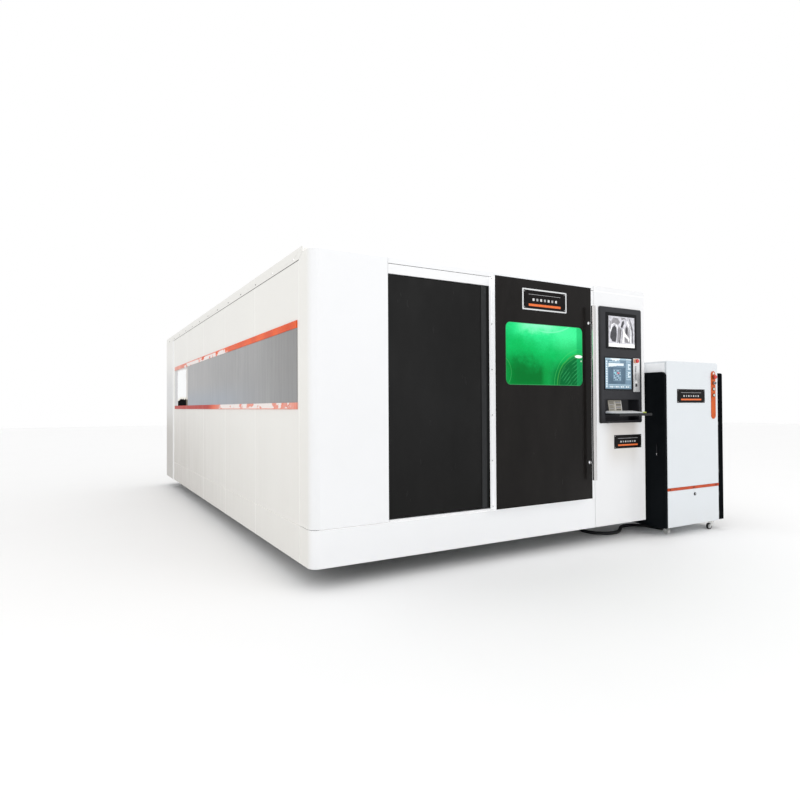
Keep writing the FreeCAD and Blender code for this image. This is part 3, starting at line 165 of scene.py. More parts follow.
M = {}
M["white"] = surface("white_paint", (0.84, 0.845, 0.855), 0.36, var=0.012, vscale=1.2, rvar=0.05, rscale=3.0,
                     bump=0.06, bscale=420.0, bdist=0.0003, spec=0.45,
                     grime=((0.74, 0.735, 0.72), 0.16, 0.34, 0.12))
# painted shade: the side sheets get a darker, warmer copy of the white paint
M["side_shaded_white"] = surface("side_white_paint", (0.797, 0.788, 0.754), 0.40, var=0.012, vscale=0.9, rvar=0.05,
                          rscale=2.0, bump=0.06, bscale=420.0, bdist=0.0003, spec=0.4,
                          grime=((0.70, 0.68, 0.64), 0.16, 0.5, 0.25))
M["cab_white"] = surface("cabinet_white_paint", (0.700, 0.734, 0.762), 0.33, var=0.012, vscale=1.6, rvar=0.05,
                         rscale=3.0, bump=0.06, bscale=420.0, bdist=0.0003, spec=0.45,
                         grime=((0.66, 0.66, 0.65), 0.09, 0.4, 0.22))


def bsdf(m):
    return [n for n in m.node_tree.nodes if n.type == "BSDF_PRINCIPLED"][0]


def seam_light(nt, lower=1.0):
    """Soft light caught in the joints between the white sheets."""
    x, y, z = axis_value(nt, 0), axis_value(nt, 1), axis_value(nt, 2)
    low = math_node(nt, "MULTIPLY", remap(nt, z, 0.4330, 0.4334, 0.0, 1.0), remap(nt, z, 0.4384, 0.4388, 1.0, 0.0))
    tot = math_node(nt, "MULTIPLY", low, math_node(nt, "MULTIPLY", remap(nt, y, (60.0 - OY) / 1000.0, (200.0 - OY) / 1000.0, 0.42, 0.16, True), lower))
    for c in (235.0, 1405.0, 2575.0, 3745.0, 4915.0):
        k = math_node(nt, "MULTIPLY", remap(nt, y, (c - 3.2 - OY) / 1000.0, (c - 2.6 - OY) / 1000.0, 0.0, 1.0),
                      remap(nt, y, (c + 2.6 - OY) / 1000.0, (c + 3.2 - OY) / 1000.0, 1.0, 0.0))
        k = math_node(nt, "MULTIPLY", k, remap(nt, z, 2.4070, 2.4080, 1.0, 0.0))
        tot = math_node(nt, "MAXIMUM", tot, math_node(nt, "MULTIPLY", k, 0.17))
    head = math_node(nt, "MULTIPLY", remap(nt, z, 2.4062, 2.4066, 0.0, 1.0), remap(nt, z, 2.4134, 2.4138, 1.0, 0.0))
    head = math_node(nt, "MULTIPLY", head, math_node(nt, "MULTIPLY", remap(nt, y, (40.0 - OY) / 1000.0, (60.0 - OY) / 1000.0, 1.0, 0.0),
                                                     remap(nt, x, (1600.0 - OX) / 1000.0, (2000.0 - OX) / 1000.0, 0.45, 0.12, True)))
    head = math_node(nt, "MULTIPLY", head, remap(nt, x, (627.0 - OX) / 1000.0, (628.0 - OX) / 1000.0, 0.0, 1.0))
    # painted highlight: the bright upright where the rear corner begins
    rear = math_node(nt, "MULTIPLY", remap(nt, y, (6015.0 - OY) / 1000.0, (6050.0 - OY) / 1000.0, 0.0, 1.0, True),
                     remap(nt, y, (6135.0 - OY) / 1000.0, (6165.0 - OY) / 1000.0, 1.0, 0.0, True))
    rear = math_node(nt, "MULTIPLY", rear, math_node(nt, "MULTIPLY", remap(nt, z, 2.395, 2.405, 1.0, 0.0), remap(nt, x, -2.2, -2.1, 1.0, 0.0)))
    tot = math_node(nt, "MAXIMUM", tot, math_node(nt, "MULTIPLY", rear, 0.10))
    return math_node(nt, "MAXIMUM", tot, head)


def lit_seams(m, extra=None, lower=1.0):
    nt, b = m.node_tree, bsdf(m)
    k = seam_light(nt, lower)
    if extra is not None:
        k = math_node(nt, "MAXIMUM", k, extra)
    nt.links.new(mixc(nt, k, (0.0, 0.0, 0.0), (1.0, 0.99, 0.975)), b.inputs["Emission Color"])
    b.inputs["Emission Strength"].default_value = 1.0


def side_colour(nt, src):
    """The side sheets grow greyer low down and towards the rear as painted shade, with faint upright streaks."""
    y, z = axis_value(nt, 1), axis_value(nt, 2)
    fy = remap(nt, y, -2.6, 3.4, 0.18, 1.0, True)
    fz = remap(nt, z, 0.3, 2.0, 1.0, 0.0, True)
    st = remap(nt, noise(nt, coords(nt, (1.0, 5.0, 0.3)), 2.2, 4.0), 0.3, 0.7, 0.75, 1.0)
    fac = math_node(nt, "MULTIPLY", math_node(nt, "MULTIPLY", fy, fz), st)
    col = mixc(nt, math_node(nt, "MULTIPLY", fac, 0.92), src, (0.455, 0.425, 0.39))
    # shadow line in the seam under the rail
    seam = math_node(nt, "MULTIPLY", remap(nt, z, 2.4055, 2.4070, 0.0, 1.0), remap(nt, z, 2.4130, 2.4145, 1.0, 0.0))
    seam = math_node(nt, "MULTIPLY", seam, remap(nt, y, (236.0 - OY) / 1000.0, (240.0 - OY) / 1000.0, 0.0, 1.0))
    # painted highlight: paler edge beside each joint
    for c in (235.0, 1405.0, 2575.0, 3745.0, 4915.0):
        k = math_node(nt, "MULTIPLY", remap(nt, y, (c - 14.0 - OY) / 1000.0, (c - 10.0 - OY) / 1000.0, 0.0, 1.0),
                      remap(nt, y, (c + 10.0 - OY) / 1000.0, (c + 14.0 - OY) / 1000.0, 1.0, 0.0))
        col = mixc(nt, math_node(nt, "MULTIPLY", k, 0.22), col, (0.88, 0.875, 0.86))
    # painted highlight: a paler line along the low seam
    low = math_node(nt, "MULTIPLY", remap(nt, z, 0.422, 0.425, 0.0, 1.0), remap(nt, z, 0.447, 0.450, 1.0, 0.0))
    col = mixc(nt, math_node(nt, "MULTIPLY", low, 0.15), col, (0.86, 0.85, 0.83))
    return mixc(nt, math_node(nt, "MULTIPLY", seam, 0.75), col, (0.10, 0.095, 0.09))


def side_tone(m):
    b = bsdf(m)
    src = b.inputs["Base Color"].links[0].from_socket
    m.node_tree.links.new(side_colour(m.node_tree, src), b.inputs["Base Color"])


def wrapped(m):
    """White at the front, turning round the corner into the darker tone of the side sheets, with their painted shade.
    """
    nt, b = m.node_tree, bsdf(m)
    src = b.inputs["Base Color"].links[0].from_socket
    y, z = axis_value(nt, 1), axis_value(nt, 2)
    n1 = noise(nt, coords(nt), 0.9, 4.0)
    beige = mixc(nt, remap(nt, n1, 0.3, 0.7, 0.0, 1.0), (0.787, 0.778, 0.744), (0.807, 0.798, 0.764))
    turn = remap(nt, y, (14.0 - OY) / 1000.0, (82.0 - OY) / 1000.0, 0.0, 1.0, True)
    nt.links.new(mixc(nt, turn, src, side_colour(nt, beige)), b.inputs["Base Color"])
    # painted light: the small closing plate at the head of the rail glows bright
    head = math_node(nt, "MULTIPLY", remap(nt, z, 2.452, 2.460, 0.0, 1.0), remap(nt, y, (146.0 - OY) / 1000.0, (150.0 - OY) / 1000.0, 1.0, 0.0))
    lit_seams(m, math_node(nt, "MULTIPLY", head, 0.31))


side_tone(M["side_shaded_white"])
lit_seams(M["side_shaded_white"])
lit_seams(M["white"])
M["wrap_white"] = surface("wrap_white_paint", (0.835, 0.842, 0.855), 0.37, var=0.012, vscale=1.2, rvar=0.05, rscale=3.0,
                          bump=0.06, bscale=420.0, bdist=0.0003, spec=0.42)
wrapped(M["wrap_white"])
# painted shade: the rear corner starts from the same darker, warmer copy of the white paint
M["corner_white"] = surface("corner_white_paint", (0.797, 0.788, 0.760), 0.40, var=0.012, vscale=0.9, rvar=0.05,
                            rscale=2.0, bump=0.06, bscale=420.0, bdist=0.0003, spec=0.4)


def corner_tone(m):
    """Rear corner, painted light and shade: a bright upright along its front edge, greyer round the bend, brownish low
    down and bluish grey at mid height.
    """
    nt, b = m.node_tree, bsdf(m)
    src = b.inputs["Base Color"].links[0].from_socket
    y, z = axis_value(nt, 1), axis_value(nt, 2)
    flat = remap(nt, y, 3.50, 3.56, 1.0, 0.0, True)
    # painted shade: brownish low down, then bluish grey at mid height
    brown = math_node(nt, "MULTIPLY", remap(nt, z, 0.85, 1.60, 1.0, 0.0, True), flat)
    col = mixc(nt, math_node(nt, "MULTIPLY", brown, 0.88), src, (0.43, 0.41, 0.385))
    mid = math_node(nt, "MULTIPLY", remap(nt, z, 1.00, 1.50, 0.0, 1.0, True), remap(nt, z, 1.60, 2.20, 1.0, 0.0, True))
    col = mixc(nt, math_node(nt, "MULTIPLY", math_node(nt, "MULTIPLY", mid, 0.70), flat), col, (0.585, 0.595, 0.61))
    edge = remap(nt, y, (6150.0 - OY) / 1000.0, (6185.0 - OY) / 1000.0, 1.0, 0.0, True)
    col = mixc(nt, edge, col, (0.78, 0.785, 0.785))
    nt.links.new(col, b.inputs["Base Color"])
    lit_seams(m, None, 0.0)


corner_tone(M["corner_white"])
M["panel_white"] = surface("panel_white_paint", (0.825, 0.83, 0.84), 0.36, var=0.012, vscale=1.2, rvar=0.05, rscale=3.0,
                           bump=0.06, bscale=420.0, bdist=0.0003, spec=0.45,
                           grime=((0.74, 0.735, 0.72), 0.16, 0.34, 0.12))


def panel_tone(m):
    """Console panel: one sheet without a low seam, with painted shade below the console and painted light towards its
    right edge.
    """
    nt, b = m.node_tree, bsdf(m)
    src = b.inputs["Base Color"].links[0].from_socket
    x, z = axis_value(nt, 0), axis_value(nt, 2)
    # painted shade below the console
    console_shade = math_node(nt, "MULTIPLY", remap(nt, z, 0.60, 1.00, 0.0, 1.0, True), remap(nt, z, 1.20, 1.30, 1.0, 0.0, True))
    console_shade = math_node(nt, "MULTIPLY", console_shade, remap(nt, x, (2940.0 - OX) / 1000.0, (3160.0 - OX) / 1000.0, 0.0, 1.0, True))
    console_shade = math_node(nt, "MULTIPLY", console_shade, remap(nt, x, (3400.0 - OX) / 1000.0, (3540.0 - OX) / 1000.0, 1.0, 0.0, True))
    nt.links.new(mixc(nt, math_node(nt, "MULTIPLY", console_shade, 0.80), src, (0.64, 0.605, 0.565)), b.inputs["Base Color"])
    # painted light: glow towards the right edge, next to the cabinet
    edge = math_node(nt, "ADD", remap(nt, x, (3400.0 - OX) / 1000.0, (3500.0 - OX) / 1000.0, 0.0, 0.08),
                     remap(nt, x, (3500.0 - OX) / 1000.0, (3565.0 - OX) / 1000.0, 0.0, 0.12))
    edge = math_node(nt, "ADD", edge, remap(nt, x, (3572.0 - OX) / 1000.0, (3590.0 - OX) / 1000.0, 0.0, 0.16))
    lit_seams(m, math_node(nt, "MULTIPLY", edge, remap(nt, z, 1.10, 1.70, 1.0, 0.0, True)), 0.0)


panel_tone(M["panel_white"])
M["stile_white"] = surface("stile_paint", (0.88, 0.885, 0.89), 0.36, var=0.012, vscale=1.6, rvar=0.05, rscale=3.0,
                           bump=0.06, bscale=420.0, bdist=0.0003, spec=0.4)
# painted light: the stile glows, lifting it where the leaf shades it
_b = [n for n in M["stile_white"].node_tree.nodes if n.type == "BSDF_PRINCIPLED"][0]
_b.inputs["Emission Color"].default_value = (0.95, 0.97, 1.0, 1.0)
_b.inputs["Emission Strength"].default_value = 0.36
M["roof"] = surface("roof_paint", (0.80, 0.80, 0.79), 0.5, var=0.03, vscale=1.1, rvar=0.08, rscale=2.5,
                    bump=0.05, bscale=300.0, spec=0.35)
M["orange"] = surface("orange_film", (0.70, 0.068, 0.014), 0.42, var=0.10, vscale=3.0, rvar=0.06, rscale=6.0,
                      spec=0.10, tint=(0.80, 0.125, 0.028), bump=0.05, bscale=150.0)


def pale_patches(m):
    """Painted reflections along the film as pale patches: upper strip at the rear, lower one at the front."""
    nt = m.node_tree
    b = [n for n in nt.nodes if n.type == "BSDF_PRINCIPLED"][0]
    src = b.inputs["Base Color"].links[0].from_socket
    y, z = axis_value(nt, 1), axis_value(nt, 2)

    def band(v, a, c, soft):
        return math_node(nt, "MULTIPLY", remap(nt, v, a, a + soft, 0.0, 1.0, True), remap(nt, v, c - soft, c, 1.0, 0.0, True))
    up_m = math_node(nt, "MULTIPLY", remap(nt, z, 1.6, 1.61, 0.0, 1.0),
                     band(y, (2000.0 - OY) / 1000.0, (5300.0 - OY) / 1000.0, 0.7))
    lo_m = math_node(nt, "MULTIPLY", remap(nt, z, 1.6, 1.61, 1.0, 0.0),
                     band(y, (150.0 - OY) / 1000.0, (3100.0 - OY) / 1000.0, 0.5))
    low_m = remap(nt, z, 1.6, 1.61, 1.0, 0.0)
    # the lower strip is deeper at the rear, and both carry a painted sheen, hazy where they catch the light
    deep = math_node(nt, "MULTIPLY", low_m, remap(nt, y, (3000.0 - OY) / 1000.0, (3500.0 - OY) / 1000.0, 0.0, 0.92, True))
    src = mixc(nt, deep, src, (0.43, 0.017, 0.010))
    haze_lo = math_node(nt, "MULTIPLY", low_m, remap(nt, y, (2600.0 - OY) / 1000.0, (3300.0 - OY) / 1000.0, 0.38, 0.0, True))
    haze_up = math_node(nt, "MULTIPLY", remap(nt, z, 1.6, 1.61, 0.0, 1.0),
                        remap(nt, y, (4300.0 - OY) / 1000.0, (5900.0 - OY) / 1000.0, 0.0, 0.5, True))
    lit_haze = math_node(nt, "MULTIPLY", math_node(nt, "ADD", haze_lo, haze_up),
                     remap(nt, noise(nt, coords(nt, (1.0, 2.0, 2.0)), 6.0, 4.0), 0.3, 0.65, 0.55, 1.25))
    src = mixc(nt, lit_haze, src, (0.84, 0.62, 0.56))
    # painted glints: pale patches from noise, gathered along the rear of the upper strip and the front of the lower one
    n1 = noise(nt, coords(nt, (1.0, 1.3, 2.5)), 3.4, 5.0, 0.62)
    n1 = math_node(nt, "ADD", n1, math_node(nt, "ADD", math_node(nt, "MULTIPLY", up_m, 0.245), math_node(nt, "MULTIPLY", lo_m, 0.205)))
    glint = remap(nt, n1, 0.645, 0.695, 0.0, 1.0, True)
    glint = math_node(nt, "MULTIPLY", glint, remap(nt, math_node(nt, "ADD", up_m, lo_m), 0.05, 0.3, 0.0, 1.0))
    rim = math_node(nt, "MAXIMUM", remap(nt, z, 1.304, 1.308, 1.0, 0.0), remap(nt, z, 1.950, 1.955, 0.0, 1.0))
    glint = math_node(nt, "MULTIPLY", glint, math_node(nt, "SUBTRACT", 1.0, math_node(nt, "MULTIPLY", rim, 0.8)))
    nt.links.new(mixc(nt, glint, src, (0.84, 0.77, 0.745)), b.inputs["Base Color"])


pale_patches(M["orange"])
M["orange_cab"] = surface("orange_paint", (0.53, 0.078, 0.006), 0.38, var=0.06, vscale=9.0, rvar=0.05, rscale=14.0,
                          tint=(0.60, 0.105, 0.010), bump=0.08, bscale=420.0, spec=0.2)
M["stripe"] = surface("stripe_paint", (0.47, 0.058, 0.018), 0.38, var=0.10, vscale=9.0, rvar=0.05, rscale=14.0,
                      tint=(0.55, 0.080, 0.024), bump=0.08, bscale=420.0, spec=0.15)
M["bezel"] = surface("bezel_paint", (0.026, 0.0265, 0.031), 0.45, var=0.10, vscale=6.0, rvar=0.07, rscale=10.0,
                     bump=0.16, bscale=700.0, bdist=0.0004, spec=0.22)


def bezel_tone(m):
    """Darker foot of the frame, and the panels inside the keyboard recess."""
    nt = m.node_tree
    b = [n for n in nt.nodes if n.type == "BSDF_PRINCIPLED"][0]
    src = b.inputs["Base Color"].links[0].from_socket
    x, y, z = axis_value(nt, 0), axis_value(nt, 1), axis_value(nt, 2)
    foot = remap(nt, z, 1.150, 1.215, 0.75, 0.0, True)
    col = mixc(nt, foot, src, (0.006, 0.006, 0.008))
    inside = remap(nt, y, (4.0 - OY) / 1000.0, (12.0 - OY) / 1000.0, 0.0, 1.0)
    rim = math_node(nt, "MULTIPLY", remap(nt, x, (2931.0 - OX) / 1000.0, (2958.0 - OX) / 1000.0, 0.92, 0.0, True),
                    remap(nt, z, 1.75, 2.15, 1.0, 0.55, True))
    col = mixc(nt, rim, col, (0.0035, 0.0038, 0.0048))
    gap = math_node(nt, "MULTIPLY", math_node(nt, "MULTIPLY", remap(nt, x, (3384.0 - OX) / 1000.0, (3386.0 - OX) / 1000.0, 0.0, 1.0),
                                              remap(nt, x, (3400.0 - OX) / 1000.0, (3402.0 - OX) / 1000.0, 1.0, 0.0)),
                    math_node(nt, "MULTIPLY", remap(nt, z, 1.455, 1.465, 0.0, 1.0), remap(nt, z, 1.780, 1.790, 1.0, 0.0)))
    col = mixc(nt, gap, col, (0.0004, 0.0010, 0.0020))
    lit = remap(nt, y, (112.0 - OY) / 1000.0, (122.0 - OY) / 1000.0, 0.0, 1.0)
    high = remap(nt, z, 1.195, 1.235, 0.0, 1.0)
    col = mixc(nt, inside, col, (0.010, 0.011, 0.014))
    nt.links.new(col, b.inputs["Base Color"])
    # faint light on the panels deep in the recess
    glow_hi = mixc(nt, lit, (0.0040, 0.0040, 0.0046), (0.0275, 0.0270, 0.0290))
    glow_lo = mixc(nt, lit, (0.0008, 0.0008, 0.0012), (0.0150, 0.0148, 0.0160))
    glow = mixc(nt, remap(nt, noise(nt, coords(nt), 9.0, 3.0), 0.3, 0.7, 0.0, 0.3), mixc(nt, high, glow_lo, glow_hi), (0.0, 0.0, 0.0))
    nt.links.new(mixc(nt, inside, (0.0, 0.0, 0.0), glow), b.inputs["Emission Color"])
    b.inputs["Emission Strength"].default_value = 1.0


bezel_tone(M["bezel"])
M["cover"] = surface("cover_paint", (0.0052, 0.0064, 0.0076), 0.34, var=0.2, vscale=2.5, rvar=0.07, rscale=5.0,
                     bump=0.10, bscale=520.0, bdist=0.0003, spec=0.012)
M["plastic"] = surface("dark_plastic", (0.0045, 0.0047, 0.0062), 0.34, var=0.15, vscale=12.0, rvar=0.06, rscale=20.0,
                       bump=0.12, bscale=900.0, spec=0.12)
M["alu"] = surface("brushed_aluminium", (0.70, 0.71, 0.72), 0.34, metal=0.85, var=0.05, vscale=26.0,
                   stretch=(1, 1, 14), rvar=0.08, rscale=30.0, bump=0.05, bscale=60.0)
M["alu_plain"] = surface("machined_aluminium", (0.62, 0.63, 0.65), 0.38, metal=0.9, var=0.05, vscale=4.0,
                         stretch=(0.6, 6, 6), rvar=0.08, rscale=10.0, bump=0.05, bscale=120.0)
M["steel"] = surface("satin_steel", (0.60, 0.59, 0.585), 0.20, metal=1.0, var=0.05, vscale=30.0,
                     stretch=(1, 1, 0.05), rvar=0.06, rscale=40.0, bump=0.03, bscale=80.0)
M["zinc"] = surface("zinc_plate", (0.58, 0.59, 0.60), 0.32, metal=1.0, var=0.10, vscale=60.0, rvar=0.10,
                    rscale=90.0, tint=(0.66, 0.66, 0.63), bump=0.06, bscale=300.0)
M["chrome"] = surface("bright_chrome", (0.78, 0.79, 0.80), 0.10, metal=1.0, var=0.03, vscale=90.0, rvar=0.04,
                      rscale=120.0, bump=0.02, bscale=300.0)
M["frame"] = surface("frame_paint", (0.26, 0.28, 0.30), 0.5, var=0.08, vscale=4.0, rvar=0.08, bump=0.1,
                     bscale=250.0)
M["bed"] = surface("bed_paint", (0.36, 0.385, 0.41), 0.5, var=0.07, vscale=3.0, rvar=0.08, bump=0.12,
                   bscale=200.0, grime=((0.16, 0.14, 0.12), 0.2, 0.85, 0.35))
M["slats"] = surface("used_slats", (0.23, 0.20, 0.18), 0.6, metal=0.7, var=0.35, vscale=14.0, rvar=0.15,
                     rscale=30.0, tint=(0.33, 0.25, 0.19), bump=0.35, bscale=180.0, bdist=0.0008)
M["keys"] = surface("key_plastic", (0.70, 0.71, 0.71), 0.35, var=0.05, vscale=60.0, rvar=0.08, rscale=80.0,
                    bump=0.08, bscale=900.0)
M["keybase"] = surface("keyboard_base", (0.56, 0.60, 0.64), 0.4, var=0.05, vscale=20.0, rvar=0.08, rscale=30.0,
                       bump=0.08, bscale=900.0)
M["tray"] = surface("tray_paint", (0.008, 0.009, 0.010), 0.32, var=0.15, vscale=10.0, rvar=0.08, rscale=20.0,
                    bump=0.10, bscale=700.0, spec=0.25)
M["red"] = surface("red_plastic", (0.62, 0.022, 0.016), 0.26, var=0.06, vscale=40.0, rvar=0.06, rscale=60.0,
                   coat=0.4, bump=0.04, bscale=500.0)
M["lens"] = surface("pale_lens", (0.62, 0.80, 0.72), 0.16, var=0.06, vscale=60.0, rvar=0.05, rscale=60.0,
                    coat=0.6, bump=0.05, bscale=300.0)
M["rubber"] = surface("hose_rubber", (0.010, 0.011, 0.012), 0.5, var=0.2, vscale=30.0, rvar=0.1, rscale=60.0,
                      bump=0.2, bscale=500.0, spec=0.35)
M["tyre"] = surface("castor_rubber", (0.035, 0.034, 0.034), 0.55, var=0.2, vscale=60.0, rvar=0.1, rscale=90.0,
                    bump=0.2, bscale=600.0, spec=0.35)
M["tyre_pale"] = surface("castor_nylon", (0.55, 0.55, 0.54), 0.45, var=0.06, vscale=60.0, rvar=0.1, rscale=90.0,
                         bump=0.1, bscale=600.0)
M["dark_screw"] = surface("screw_black", (0.05, 0.045, 0.04), 0.4, metal=0.8, var=0.2, vscale=80.0, rvar=0.08,
                          bump=0.1, bscale=500.0)
M["gasket"] = surface("window_gasket", (0.012, 0.012, 0.012), 0.55, var=0.2, vscale=60.0, bump=0.15, bscale=700.0,
                      spec=0.35)


def black_gloss(name, base, strip=None, heights=None):
    """Gloss black sheet with faint wiping marks; strip = (x0, x1, colour) is a paler upright; heights = (z0, z1, z2)
    adds a painted reflection, lighter around mid height and darker low down.
    """
    m, nt, b = new_mat(name)
    v = coords(nt, (1.0, 1.0, 0.35))
    n1 = noise(nt, v, 2.2, 5.0, 0.6)
    col = mixc(nt, remap(nt, n1, 0.3, 0.72, 0.0, 1.0), shade(base, 0.62), shade(base, 1.35))
    if heights:
        # painted reflection: lighter around mid height, darker low down and a little darker at the top
        z = axis_value(nt, 2)
        k = math_node(nt, "MULTIPLY", remap(nt, z, heights[0], heights[1], 0.0, 1.0, True), remap(nt, z, heights[1], heights[2], 1.0, 0.45, True))
        k = math_node(nt, "MULTIPLY", k, remap(nt, noise(nt, coords(nt, (1.0, 1.0, 0.7)), 1.7, 4.0), 0.3, 0.7, 0.6, 1.1))
        col = mixc(nt, k, mixc(nt, 0.35, col, (0.004, 0.004, 0.0042)), mixc(nt, 0.45, col, (0.0185, 0.0188, 0.0195)))
    if strip:
        x = axis_value(nt, 0)
        a = remap(nt, x, strip[0] - 0.0008, strip[0] + 0.0008, 0.0, 1.0)
        c = remap(nt, x, strip[1] - 0.0008, strip[1] + 0.0008, 1.0, 0.0)
        col = mixc(nt, math_node(nt, "MULTIPLY", a, c), col, strip[2])
    nt.links.new(col, b.inputs["Base Color"])
    w = noise(nt, coords(nt, (2.0, 2.0, 0.8)), 5.0, 6.0, 0.62)
    nt.links.new(remap(nt, w, 0.35, 0.72, 0.10, 0.30), b.inputs["Roughness"])
    b.inputs["Specular IOR Level"].default_value = 0.095
    b.inputs["Coat Weight"].default_value = 0.0
    n3 = noise(nt, coords(nt), 1.6, 2.0)
    bp = nt.nodes.new("ShaderNodeBump")
    bp.inputs["Strength"].default_value = 0.05
    bp.inputs["Distance"].default_value = 0.01
    nt.links.new(n3, bp.inputs["Height"])
    nt.links.new(bp.outputs[0], b.inputs["Normal"])
    return m


# the leaf carries a painted reflection, lighter around mid height
M["leaf"] = black_gloss("leaf_gloss", (0.011, 0.0108, 0.0105),
                        ((1524.0 - OX) / 1000.0, (1577.0 - OX) / 1000.0, (0.030, 0.031, 0.032)), (0.45, 1.45, 2.35))
M["door"] = black_gloss("door_gloss", (0.011, 0.0098, 0.0092))


def band_material():
    """Brushed grey band with painted shade and light along it; its last pane is painted bright as a mirror-like
    reflection.
    """
    m, nt, b = new_mat("band_sheet")
    v = coords(nt, (1.0, 9.0, 0.25))
    n1 = noise(nt, v, 5.0, 6.0, 0.6)
    streak = mixc(nt, remap(nt, n1, 0.3, 0.7, 0.0, 1.0), (0.265, 0.265, 0.27), (0.345, 0.345, 0.35))
    dust = remap(nt, noise(nt, coords(nt), 1.7, 5.0), 0.4, 0.75, 0.0, 0.35)
    streak = mixc(nt, dust, streak, (0.42, 0.42, 0.41))
    z = axis_value(nt, 2)
    y = axis_value(nt, 1)
    # painted shade towards the front of the band, painted light further back
    streak = mixc(nt, remap(nt, y, -3.1, -1.7, 0.62, 0.0, True), streak, (0.195, 0.193, 0.190))
    streak = mixc(nt, remap(nt, y, -1.5, 1.2, 0.0, 0.40, True), streak, (0.44, 0.44, 0.445))
    # painted reflection: bluish towards the top, more of it further back
    blue = math_node(nt, "MULTIPLY", remap(nt, z, 1.35, 1.66, 0.62, 0.0, True), remap(nt, y, -2.4, -0.4, 0.1, 1.0, True))
    col = mixc(nt, blue, streak, (0.29, 0.34, 0.41))
    y0 = (4841.0 - OY) / 1000.0
    pane = remap(nt, y, y0 - 0.001, y0 + 0.001, 0.0, 1.0)
    pcol = mixc(nt, remap(nt, noise(nt, coords(nt, (1, 1.2, 0.5)), 2.0, 3.0), 0.35, 0.65, 0.0, 1.0),
                (0.90, 0.92, 0.94), (0.96, 0.97, 0.975))
    pn = noise(nt, coords(nt, (1, 2.0, 3.0)), 4.5, 4.0)
    # a low dark rounded painted reflection with a pale outline, and dim edges at both ends of the pane as painted shade
    yy = math_node(nt, "MULTIPLY", math_node(nt, "SUBTRACT", y, (5260.0 - OY) / 1000.0), 1.0 / 0.44)
    dz = math_node(nt, "ADD", math_node(nt, "SUBTRACT", z, 1.452), math_node(nt, "MULTIPLY", math_node(nt, "MULTIPLY", yy, yy), 0.035))
    dz = math_node(nt, "ADD", dz, remap(nt, pn, 0.3, 0.7, -0.014, 0.014))
    span = remap(nt, math_node(nt, "ABSOLUTE", yy), 0.95, 1.03, 1.0, 0.0, True)
    halo = math_node(nt, "MULTIPLY", remap(nt, dz, 0.015, 0.045, 0.55, 0.0, True), span)
    pcol = mixc(nt, halo, pcol, (0.70, 0.60, 0.36))
    pcol = mixc(nt, math_node(nt, "MULTIPLY", remap(nt, dz, -0.004, 0.008, 1.0, 0.0, True), span), pcol, (0.010, 0.009, 0.009))
    ym = math_node(nt, "ADD", y, remap(nt, pn, 0.3, 0.7, -0.03, 0.03))
    pcol = mixc(nt, remap(nt, ym, (5670.0 - OY) / 1000.0, (5740.0 - OY) / 1000.0, 0.0, 1.0, True), pcol, (0.36, 0.36, 0.37))
    pcol = mixc(nt, remap(nt, ym, (4930.0 - OY) / 1000.0, (4990.0 - OY) / 1000.0, 0.65, 0.0, True), pcol, (0.30, 0.26, 0.20))
    black = math_node(nt, "MULTIPLY", remap(nt, dz, -0.004, 0.008, 1.0, 0.0, True), span)
    # painted shade along the top of the pane
    top = math_node(nt, "ADD", z, remap(nt, pn, 0.3, 0.7, -0.010, 0.010))
    pcol = mixc(nt, remap(nt, top, 1.872, 1.888, 0.0, 0.7, True), pcol, (0.25, 0.18, 0.14))
    col = mixc(nt, pane, col, pcol)
    nt.links.new(col, b.inputs["Base Color"])
    r = remap(nt, noise(nt, v, 11.0, 5.0), 0.3, 0.7, 0.34, 0.5)
    nt.links.new(math_node(nt, "MULTIPLY", r, remap(nt, pane, 0.0, 1.0, 1.0, 0.2)), b.inputs["Roughness"])
    met = math_node(nt, "MULTIPLY", remap(nt, pane, 0.0, 1.0, 0.25, 0.5), math_node(nt, "SUBTRACT", 1.0, math_node(nt, "MULTIPLY", black, pane)))
    nt.links.new(met, b.inputs["Metallic"])
    nt.links.new(math_node(nt, "MULTIPLY", math_node(nt, "SUBTRACT", 1.0, math_node(nt, "MULTIPLY", black, pane)), 0.4), b.inputs["Specular IOR Level"])
    bp = nt.nodes.new("ShaderNodeBump")
    bp.inputs["Strength"].default_value = 0.05
    bp.inputs["Distance"].default_value = 0.001
    nt.links.new(noise(nt, v, 40.0, 3.0), bp.inputs["Height"])
    nt.links.new(bp.outputs[0], b.inputs["Normal"])
    return m


M["band"] = band_material()


